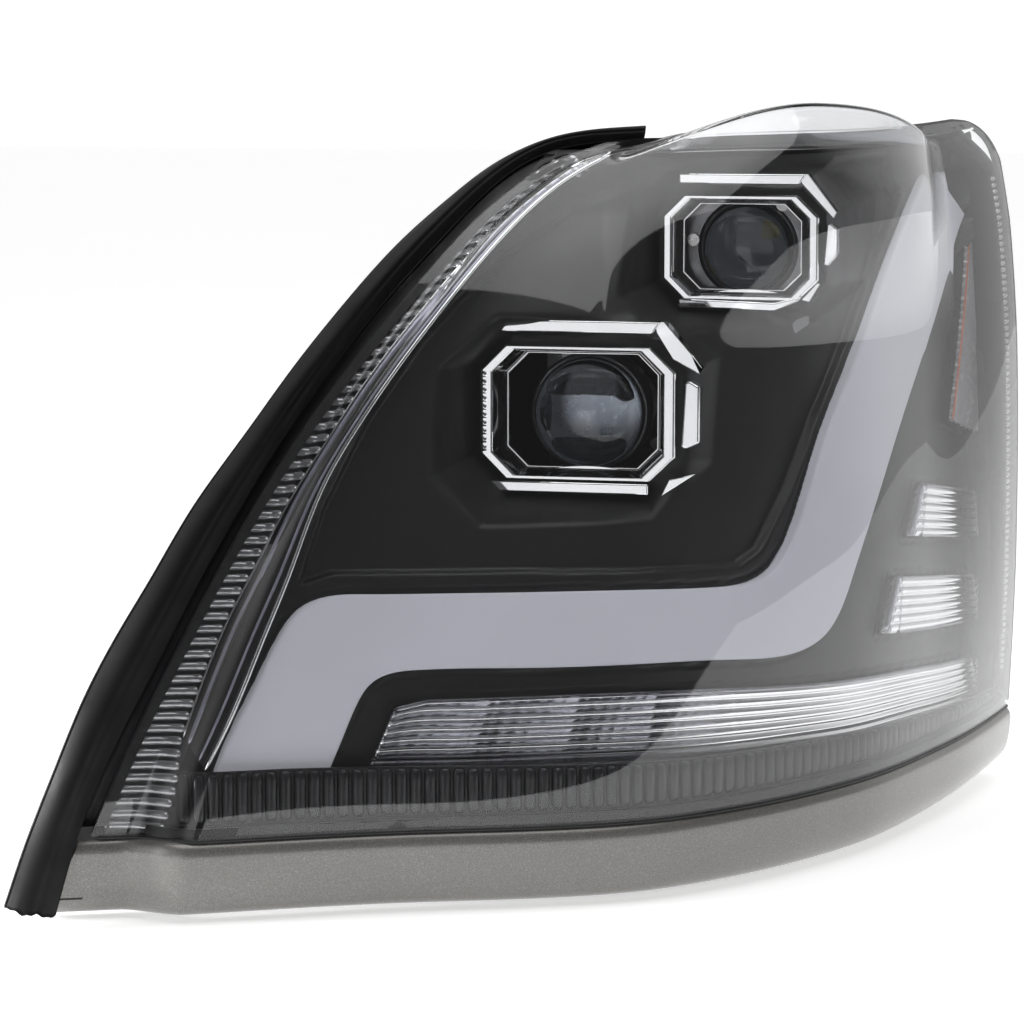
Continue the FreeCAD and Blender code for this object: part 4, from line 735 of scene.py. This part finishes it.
ok_ = [i for i in range(len(tk)) if rb[i][1] > 2.0 and rb[i][0] - ra[i][0] > 4]
dstep = lambda s_, t_: front_d(np.maximum(s_, sL(np.clip(t_, 0, T1)) + 1.0), np.clip(t_, 0, T1)) + 7.6
rods("inboard_rib_rods", [ra[i] for i in ok_], [rb[i] for i in ok_], 5.9, 3.0, dstep, MAT["rib_pale"], 18, 9)
tl = np.linspace(3.0, 408.0, 240)
kw = np.linspace(0, 1, 8)
Tl, Kw = np.meshgrid(tl, kw, indexing="ij")
sq = np.sqrt(1 + slopeL(Tl) ** 2)
Wl = 1.0 + (wr_of(Tl) + 5.0) * Kw
Sl = sL(Tl) + Wl / sq
Tw = Tl - Wl * slopeL(Tl) / sq
ok = Tw[:, -1] > 0.5
o = thick("inboard_rib_backing", S(Sl, Tw, dstep(Sl, Tw) + 0.6)[ok], 1.2)
put(o, "housing", MAT["baffle_black"])

# thin pale lilac and chrome tubes where the shoulder meets the face: painted highlight and reflection streaks of the
# clear lens step
CREASE = resample([(8.9, 42.2), (24.1, 72.8), (43.0, 117.7), (59.4, 156.0), (82.4, 211.2), (97.5, 236.1), (122.5, 271.8), (148.2, 304.5), (172.4, 333.2), (196.1, 358.1), (222.1, 379.8), (242.0, 391.9), (266.2, 402.7)], 160)
RIBR = resample([(-2.0, 60.3), (14.4, 104.8), (27.2, 133.5), (43.1, 163.1), (60.9, 196.8), (81.7, 229.4), (102.5, 260.7), (122.4, 287.2), (142.4, 311.1), (164.6, 336.1), (192.3, 363.7), (216.0, 381.7), (232.0, 391.4), (252.7, 401.0)], 160)
for nm_, k_, r_, dd_, mt_ in (("crease_highlight_face", -0.05, 1.2, 4.2, "chrome"), ("crease_highlight_mid", 0.22, 0.8, 6.0, "rib_lilac"), ("crease_highlight_low", 0.70, 1.5, 7.4, "rib_lilac"), ("crease_highlight_rib", 0.95, 0.8, 6.6, "chrome")):
    c_ = CREASE + (RIBR - CREASE) * k_
    tube(nm_, c_, front_d(c_[:, 0], c_[:, 1]) + dd_, r_, MAT[mt_])
kk = np.linspace(0, 1, 8)
st = RIBR[:, None, :] + (CREASE - RIBR)[:, None, :] * kk[None, :, None]
o = thick("crease_wall", S(st[..., 0], st[..., 1], front_d(st[..., 0], st[..., 1]) + 9.5)[:, ::-1], 1.2)
put(o, "housing", MAT["baffle_black"])

# fine serrations on the bonding edge at the top and outboard side
sk = np.arange(292.0, 640.0, 4.6)
rods("top_edge_serrations", [(x, 404.4) for x in sk], [(x, 409.6) for x in sk], 3.6, 1.6, lambda s_, t_: step(s_, t_) + 5.4, MAT["rib_pale"], 8, 6)
tk = np.arange(30.0, 372.0, 4.4)
rods("outboard_edge_beads", [(float(sR(t_)) - 19.0, t_) for t_ in tk], [(float(sR(t_)) - 11.0, t_) for t_ in tk], 3.4, 1.6, lambda s_, t_: step(s_, t_) + 6.0, MAT["rib_pale"], 8, 6)
# black bonding lip round the outboard edge
tt_ = np.linspace(2.0, 411.9, 300)
lip = np.stack([sR(tt_) + 0.8, tt_], 1)
tp_ = np.stack([np.linspace(float(sR(411.9)) - 2, 560, 40), np.full(40, 412.4)], 1)
lip = np.concatenate([lip, tp_])
Lq = np.concatenate([[0], np.cumsum(np.hypot(*np.diff(lip, axis=0).T))])
qq = np.linspace(0, Lq[-1], 320)
lip = np.stack([np.interp(qq, Lq, lip[:, 0]), np.interp(qq, Lq, lip[:, 1])], 1)
tube("outboard_lip", lip, front_d(np.minimum(lip[:, 0], sR(np.clip(lip[:, 1], 0, T1))), np.clip(lip[:, 1], 0, T1)) + 3.4, 1.5, MAT["baffle_black"], flat=1.8)
sb_ = np.linspace(-57.0, 741.0, 260)
foot = np.stack([sb_, np.full(260, -1.0)], 1)
tube("lower_lip", foot, front_d(np.maximum(sb_, float(sL(0.0)) + 1), np.zeros(260)) + 3.0, 1.9, MAT["baffle_black"], flat=2.0)

# ------------------------------------------------------------------ rubber seal and painted trim
SO = resample([(-110.6, -38.5), (-99.3, -5.9), (-79.0, 45.6), (-62.7, 84.6), (-39.8, 127.3), (-21.7, 156.8), (2.7, 196.9), (33.1, 238.2),
               (63.2, 278.8), (96.2, 319.5), (129.4, 356.0), (160.2, 383.0), (192.7, 406.0), (233.1, 420.2), (261.2, 424.4), (291.5, 426)], 240)
SI = resample([(-80.3, -44.8), (-66.1, 3.0), (-47.6, 48.7), (-23.2, 95.3), (6.6, 151.6), (30.6, 192.9), (60.6, 240.4), (93.6, 285.5),
               (127, 327.2), (158.0, 360.9), (189.4, 391.2), (220.8, 409.4), (258.8, 416.5), (291.3, 417.6)], 240)
kk = np.linspace(0, 1, 22)
uu = np.linspace(0, 1, 240)
st = SO[:, None, :] + (SI - SO)[:, None, :] * kk[None, :, None]
rag = 0.8 * np.sin(kk * 13.0) + 0.5 * np.sin(kk * 31.0 + 1.0)
fall = np.exp(-uu * 60.0)
st[..., 1] += rag[None, :] * fall[:, None]
d = 16 - 13 * np.sin(np.pi * np.minimum(1.0, 0.12 + 0.8 * kk))[None, :] * (1 - 0.45 * uu)[:, None]
d = d + 0.5 * np.sin(uu * 40.0)[:, None] * np.sin(np.pi * kk)[None, :] + 0.9 * np.exp(-((kk - 0.62) / 0.05) ** 2)[None, :]
F = S(st[..., 0], st[..., 1], d)
o = slab("hood_seal_rubber", F, S(st[..., 0], st[..., 1], d + 6.5), sharp=False)
put(o, "housing", MAT["seal_rubber"], ("hood_seal",))

tb_ = np.linspace(-38.0, 6.0, 30)
sa_ = np.interp(tb_, SI[:40, 1], SI[:40, 0]) - 4.0
kk = np.linspace(0, 1, 6)
st_s = sa_[:, None] + (np.minimum(-50.0, -63.5 + 0.44 * tb_ + 16.0) - sa_)[:, None] * kk[None, :]
st_t = np.repeat(tb_[:, None], 6, 1)
o = thick("seal_foot_backing", S(st_s, st_t, 23.5 + 0 * st_s)[:, ::-1], 1.5)
put(o, "housing", MAT["baffle_black"])

TRIMP = [(-3.4, 13.0), (-3.4, 8.0), (-3.7, 4.4), (-5.0, 1.8), (-7.6, 0.4), (-13.0, 0.2), (-22.0, 1.0), (-31.0, 2.4), (-38.0, 5.0), (-42.8, 9.0), (-45.4, 14.0), (-46.2, 20.0)]
tp = np.array(TRIMP)
Lp = np.concatenate([[0], np.cumsum(np.hypot(*np.diff(tp, axis=0).T))])
q = np.linspace(0, Lp[-1], 44)
pt, pd = nat(list(Lp), list(tp[:, 0]))(q), nat(list(Lp), list(tp[:, 1]))(q)
uu = np.linspace(0, 1, 320)
hh = 1.0 - 0.12 * sm((uu - 0.7) / 0.3)
s0 = -63.5 + 0.52 * pt
Sg = s0[None, :] + (738.0 - s0)[None, :] * uu[:, None]
stepb = 22.0 * (1 - sm((Sg + 60.0 - 18.0) / 40.0))
F = S(Sg, pt[None, :] * hh[:, None], pd[None, :] + stepb)
o = thick("lower_trim_painted", F, 2.6)
put(o, "housing", MAT["trim_paint"], ("lower_trim",))


# ------------------------------------------------------------------ chrome surrounds
def octo(hw0, hw1, hh0, hh1, c, w=0.0):
    """Octagon with chamfered corners, moved outward by w: left, right, down, up half sizes."""
    a0, a1, b0, b1 = hw0 + w, hw1 + w, hh0 + w, hh1 + w
    k = max(0.5, c + w * (2 - math.sqrt(2)))
    return [(-a0 + k, -b0), (a1 - k, -b0), (a1, -b0 + k), (a1, b1 - k), (a1 - k, b1), (-a0 + k, b1), (-a0, b1 - k), (-a0, -b0 + k)]


def ring_loft(name, loops, centre, body, material, replaces=(), close=True):
    """Closed ring through octagon loops given as (points, y)."""
    V = []
    for pts, y in loops:
        V += [(centre[0] + p[0], y, centre[1] + p[1]) for p in pts]
    n, k = len(loops), len(loops[0][0])
    Fc = []
    for i in range(n if close else n - 1):
        i2 = (i + 1) % n
        for j in range(k):
            j2 = (j + 1) % k
            Fc.append([i * k + j, i * k + j2, i2 * k + j2, i2 * k + j])
    o = new_obj(name, V, Fc, False)
    put(o, body, material, replaces)
    md = o.modifiers.new("edge", "BEVEL")
    md.width = 0.00045
    md.segments = 3
    md.limit_method = "ANGLE"
    md.angle_limit = math.radians(14)
    return o


def octo2(dims, dx, dz, c):
    """Octagon with its sides moved out by dx and its top and bottom by dz."""
    a0, a1, b0, b1 = dims[0] + dx, dims[1] + dx, dims[2] + dz, dims[3] + dz
    return [(-a0 + c, -b0), (a1 - c, -b0), (a1, -b0 + c), (a1, b1 - c), (a1 - c, b1), (-a0 + c, b1), (-a0, b1 - c), (-a0, -b0 + c)]


def surround(tag, c, y, dims, ch, wx, wz, replaces):
    f = y - 4.0
    z_ = (19.0, 23.5, 26.0, 24.0, 18.6, 22.0, 23.4) if tag == "low" else (12.4, 14.6, 16.0, 15.0, 12.0, 14.2, 14.5)
    loops = [
        (octo2(dims, 3.0, 2.0, ch + 1), f + z_[2]), (octo2(dims, 3.0, 2.0, ch + 1), f + 12.5), (octo2(dims, 2.2, 1.4, ch + 1), f + 11.5), (octo2(dims, 0.2, 0.2, ch), f + 11.5),
        (octo2(dims, 0, 0, ch), f + 1.2), (octo2(dims, -1.0, -0.6, ch - 0.3), f),
        (octo2(dims, -wx + 0.8, -wz + 0.4, ch - 1.2), f), (octo2(dims, -wx, -wz, ch - 1.4), f + 0.8),
        (octo2(dims, -wx - 1.6, -wz - 1.0, ch - 1.8), f + 9.0), (octo2(dims, -wx - 3.0, -wz - 1.6, ch - 2.0), f + z_[3]), (octo2(dims, -2.0, -2.0, ch), f + z_[2])]
    ring_loft("chrome_surround_" + tag, loops, c, "housing", MAT["chrome"], replaces)
    # dark sleeve behind the band, ending in a second thin polished frame
    g = (octo2(dims, -wx - 1.8, -wz - 1.2, ch - 1.8), octo2(dims, -wx - 5.4, -wz - 3.0, ch - 2.6), octo2(dims, -wx - 6.6, -wz - 3.8, ch - 2.8))
    ring_loft("inner_sleeve_" + tag, [(g[0], f + 9.2), (g[1], f + z_[0]), (g[1], f + z_[1]), (g[0], f + z_[1])], c, "housing", MAT["gloss_black"])
    ring_loft("inner_frame_" + tag, [(g[1], f + z_[4]), (g[2], f + z_[4]), (g[2], f + z_[5]), (g[1], f + z_[6])], c, "housing", MAT["chrome"])


surround("low", (PLOW[0] - 1.5, PLOW[1] + 3.0), YFL, (61.5, 61.5, 42.0, 42.0), 15.5, 7.6, 2.6, ("chrome_frame_low",))
surround("high", (PHIGH[0] - 2.0, PHIGH[1] + 1.5), YFH, (50.0, 50.0, 33.5, 33.5), 13.5, 6.2, 2.6, ("chrome_frame_high",))
# scalloped inboard band of the lower surround
zz = np.linspace(-25.5, 26.0, 210)
xx = np.linspace(0, 1, 8)
Zg, Xg = np.meshgrid(zz, xx, indexing="ij")
bulge = np.abs(np.sin(np.pi * (Zg + 25.5) / 5.15)) ** 0.7
PX = PLOW[0] - 1.5 - 61.5 - 0.3 + 4.6 * Xg
PY = YFL - 4.0 + 0.9 - 1.9 * bulge * np.sqrt(np.clip(1 - (2 * Xg - 1) ** 2, 0, 1))
scl = np.stack([PX, PY, PLOW[1] + 3.0 + Zg], -1)
o = new_obj("scalloped_band_low", scl, quads(210, 8))
put(o, "housing", MAT["chrome"])


def bar(name, pts, y0, y1, body="housing", bevel=0.9, material=None):
    n = len(pts)
    V = [(p[0], y0, p[1]) for p in pts] + [(p[0], y1, p[1]) for p in pts]
    Fc = [list(range(n))[::-1], [n + i for i in range(n)]] + [[i, (i + 1) % n, n + (i + 1) % n, n + i] for i in range(n)]
    o = new_obj(name, V, Fc, False)
    put(o, body, material or MAT["chrome"])
    md = o.modifiers.new("edge", "BEVEL")
    md.width = bevel * 0.001
    md.segments = 3
    md.limit_method = "ANGLE"
    return o


def at(c, pts):
    return [(c[0] + p[0], c[1] + p[1]) for p in pts]


b1 = bar("chrome_bar_low_upper", at(PLOW, [(-53, 54), (46, 54), (51, 61), (-53, 61)]), YFL - 7, YFL + 6)
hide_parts("chrome_accent_bars")
bar("chrome_bar_low_lower", at(PLOW, [(-58, -46.5), (44, -46.5), (44, -39.8), (-58, -39.8)]), YFL - 8, YFL + 5)
bar("chrome_facet_low_upper", at(PLOW, [(47, 61), (53, 61), (77, 33), (75, 29), (58, 38), (48, 54)]), YFL - 3, YFL + 10, bevel=0.5)
bar("chrome_facet_low_side", at(PLOW, [(63.5, -16), (66, -18), (75, -14), (75, 21), (68, 25), (65.5, 23)]), YFL - 3, YFL + 9, bevel=1.4)
bar("chrome_facet_low_lower", at(PLOW, [(51, -48), (73, -33), (56, -37.5)]), YFL - 2, YFL + 8, bevel=0.5)
bar("chrome_bar_high_upper", at(PHIGH, [(-41, 42.5), (36, 42.5), (40, 48.5), (-41, 48.5)]), YFH - 6, YFH + 6)
bar("chrome_facet_high_upper", at(PHIGH, [(36, 48.5), (41, 48.5), (59, 25), (57, 21), (46, 33), (37, 42.5)]), YFH - 3, YFH + 9, bevel=0.4)
bar("chrome_facet_high_side", at(PHIGH, [(51, -8), (54, -9), (60, -2), (60, 14), (55, 18), (53, 17)]), YFH - 3, YFH + 9, bevel=0.9)
bar("chrome_bar_high_lower", at(PHIGH, [(-41, -37), (20, -38), (35, -32), (38, -28.5), (20, -33), (-41, -31.5)]), YFH - 6, YFH + 5)
bar("chrome_facet_high_lower", at(PHIGH, [(37, -31), (47, -20), (49, -20.5), (42, -32)]), YFH - 2, YFH + 8, bevel=0.4)
for nm_, c_, w_, y_, k_ in (("low", PLOW, 31.0, YFL + 14, 1.0), ("high", PHIGH, 25.0, YFH + 6.5, 0.8)):
    a_ = np.linspace(-1, 1, 17)
    pts = [(w_ * q + 2, -37.0 * k_ + 0.2) for q in a_] + [(w_ * q + 2, -37.0 * k_ + 4.6 * k_ * (1 - q * q) ** 0.8 + 0.4) for q in a_[::-1]]
    bar("chrome_lip_" + nm_, at(c_, pts), y_, y_ + 4, bevel=0.2)

# ------------------------------------------------------------------ projector modules
def lathe(name, prof, centre, y, body, material, replaces=(), n=96, closed=True):
    """Ring or solid of revolution about the Y axis; prof is (radius, distance in front of y)."""
    V, Fc = [], []
    k = len(prof)
    for i in range(n):
        a = 2 * math.pi * i / n
        V += [(centre[0] + r * math.cos(a), y - h, centre[1] + r * math.sin(a)) for r, h in prof]
    for i in range(n):
        i2 = (i + 1) % n
        for j in range(k if closed else k - 1):
            j2 = (j + 1) % k
            if prof[j][0] < 1e-6 and prof[j2][0] < 1e-6:
                continue
            Fc.append([i * k + j, i * k + j2, i2 * k + j2, i2 * k + j])
    o = new_obj(name, V, Fc)
    me = o.data
    put(o, body, material, replaces)
    bpy.context.view_layer.objects.active = o
    md = o.modifiers.new("weld", "WELD")
    md.merge_threshold = 0.00001
    md = o.modifiers.new("split", "EDGE_SPLIT")
    md.split_angle = math.radians(35)
    return o


def projector(tag, c, y, lr, rr, depth):
    n = 26
    prof = [(0, 17.0)]
    for k in range(1, n + 1):
        a = math.pi / 2 * k / n
        prof.append((lr * math.sin(a), 17.0 - 15.0 * (1 - math.cos(a)) ** 0.85))
    prof += [(lr, -3.5), (0, -3.5)]
    lathe("aspheric_lens_" + tag, prof, c, y, "projector_carrier", MAT["lens_glass"], ("projector_lens_" + tag,))
    lathe("retainer_" + tag, [(lr + 0.1, -4.0), (lr + 0.1, 2.0), (lr + 0.7, 3.0), (lr + 1.8, 2.6), (rr - 0.8, 0.6), (rr, -0.6), (rr, -12.0), (lr - 3.0, -12.0), (lr - 3.0, -4.0)],
          c, y, "projector_carrier", MAT["grey_metal"], ("lens_retainer_" + tag,))
    # light-trap behind the glass: dark stepped tube
    lathe("light_trap_" + tag, [(lr - 3.2, -4.4), (lr - 4.4, -5.0), (lr - 6.0, -16), (lr - 5.0, -17), (lr - 8, -30), (lr - 7, -31), (lr - 10, -depth + 16), (lr - 6, -depth + 16), (lr - 2.6, -12)],
          c, y, "projector_carrier", MAT["baffle_black"], n=72)


projector("low", PLOW, 130.0 - YM, 35.0, 38.5, 77.0)
projector("high", PHIGH, 212.0 - YM, 29.0, 32.5, 50.0)

# ------------------------------------------------------------------ stage
def plane(name, size, z, material):
    me = bpy.data.meshes.new(name)
    s = size
    me.from_pydata([(-s, -0.70, z), (s, -0.70, z), (s, s, z), (-s, s, z)], [], [(0, 1, 2, 3)])
    ob = bpy.data.objects.new(name, me)
    bpy.context.scene.collection.objects.link(ob)
    me.materials.append(material)
    return ob


floor_m = surface("m_floor", (0.93, 0.93, 0.93), (0.95, 0.95, 0.95), 3, (0.8, 0.9), spec=0.1)
for n_ in floor_m.node_tree.nodes:
    if n_.type == "BSDF_PRINCIPLED":
        n_.inputs["Emission Color"].default_value = (1, 1, 1, 1)
        n_.inputs["Emission Strength"].default_value = 0.5
fl = plane("floor", 14.0, cad_lo.z - 0.002, floor_m)

wd = bpy.data.worlds.new("studio")
bpy.context.scene.world = wd
wd.use_nodes = True
wnt = wd.node_tree
bg = wnt.nodes["Background"]
tc = wnt.nodes.new("ShaderNodeTexCoord")
sep = wnt.nodes.new("ShaderNodeSeparateXYZ")
wnt.links.new(tc.outputs["Generated"], sep.inputs["Vector"])
# dark in front of the lamp, white round the sides, above and behind


def span(sock, a, b, neg=False):
    m1 = wnt.nodes.new("ShaderNodeMapRange")
    m1.interpolation_type = "SMOOTHSTEP"
    m1.inputs["From Min"].default_value = a
    m1.inputs["From Max"].default_value = b
    if neg:
        m1.inputs["To Min"].default_value, m1.inputs["To Max"].default_value = 1.0, 0.0
    wnt.links.new(sock, m1.inputs["Value"])
    return m1.outputs["Result"]


def larger(a, b):
    m1 = wnt.nodes.new("ShaderNodeMath")
    m1.operation = "MAXIMUM"
    wnt.links.new(a, m1.inputs[0])
    wnt.links.new(b, m1.inputs[1])
    return m1.outputs["Value"]


def times(a, b):
    m1 = wnt.nodes.new("ShaderNodeMath")
    m1.operation = "MULTIPLY"
    wnt.links.new(a, m1.inputs[0])
    wnt.links.new(b, m1.inputs[1])
    return m1.outputs["Value"]


left = span(sep.outputs["X"], -0.85, -0.55, True)
back = span(sep.outputs["Y"], 0.25, 0.70)
up = span(sep.outputs["Z"], 0.80, 0.97)
card = times(times(span(sep.outputs["X"], -0.50, -0.42), span(sep.outputs["X"], 0.02, 0.10, True)), times(span(sep.outputs["Z"], -0.02, 0.06, True), span(sep.outputs["Y"], -0.5, -0.3, True)))


def weak(a, k_):
    m1 = wnt.nodes.new("ShaderNodeMath")
    m1.operation = "MULTIPLY"
    wnt.links.new(a, m1.inputs[0])
    m1.inputs[1].default_value = k_
    return m1.outputs["Value"]


behind = times(span(sep.outputs["Y"], 0.70, 0.85), span(sep.outputs["X"], 0.10, 0.30, True))
fac = larger(larger(left, larger(weak(back, 0.6), behind)), larger(weak(up, 0.8), card))
mr = wnt.nodes.new("ShaderNodeMapRange")
mr.inputs["To Min"].default_value = 0.10
mr.inputs["To Max"].default_value = 1.10
wnt.links.new(fac, mr.inputs["Value"])
wnt.links.new(mr.outputs["Result"], bg.inputs["Strength"])
bg.inputs["Color"].default_value = (1, 1, 1, 1)


def area(name, loc, target, size, power, color=(1, 1, 1)):
    l = bpy.data.lights.new(name, "AREA")
    l.shape = "RECTANGLE"
    l.size, l.size_y = size
    l.energy = power
    l.color = color
    o = bpy.data.objects.new(name, l)
    o.location = loc
    o.rotation_euler = (Vector(target) - Vector(loc)).to_track_quat("-Z", "Y").to_euler()
    bpy.context.scene.collection.objects.link(o)
    return o


area("top", (0.2, -0.55, 2.4), (0.2, -0.5501, 0), (3.2, 2.5), 30)
area("left_strip", (-2.8, -1.15, 0.25), (-0.15, -0.42, -0.1), (1.1, 1.2), 30)
area("low_left", (-1.3, -0.78, 0.0), (-0.07, -0.42, -0.2), (0.5, 0.35), 20)

tgt = Vector((-XM, -YM, 0)) * 0.001
cam = bpy.data.cameras.new("camera")
cam.lens = 117.19
cam.sensor_width = 36.0
co = bpy.data.objects.new("camera", cam)
co.location = tgt + Vector((0.20589, -0.96863, 0.13917)) * 2.0
co.rotation_euler = (tgt - co.location).to_track_quat("-Z", "Y").to_euler()
bpy.context.scene.collection.objects.link(co)
bpy.context.scene.camera = co
bpy.context.scene.view_settings.view_transform = "Standard"
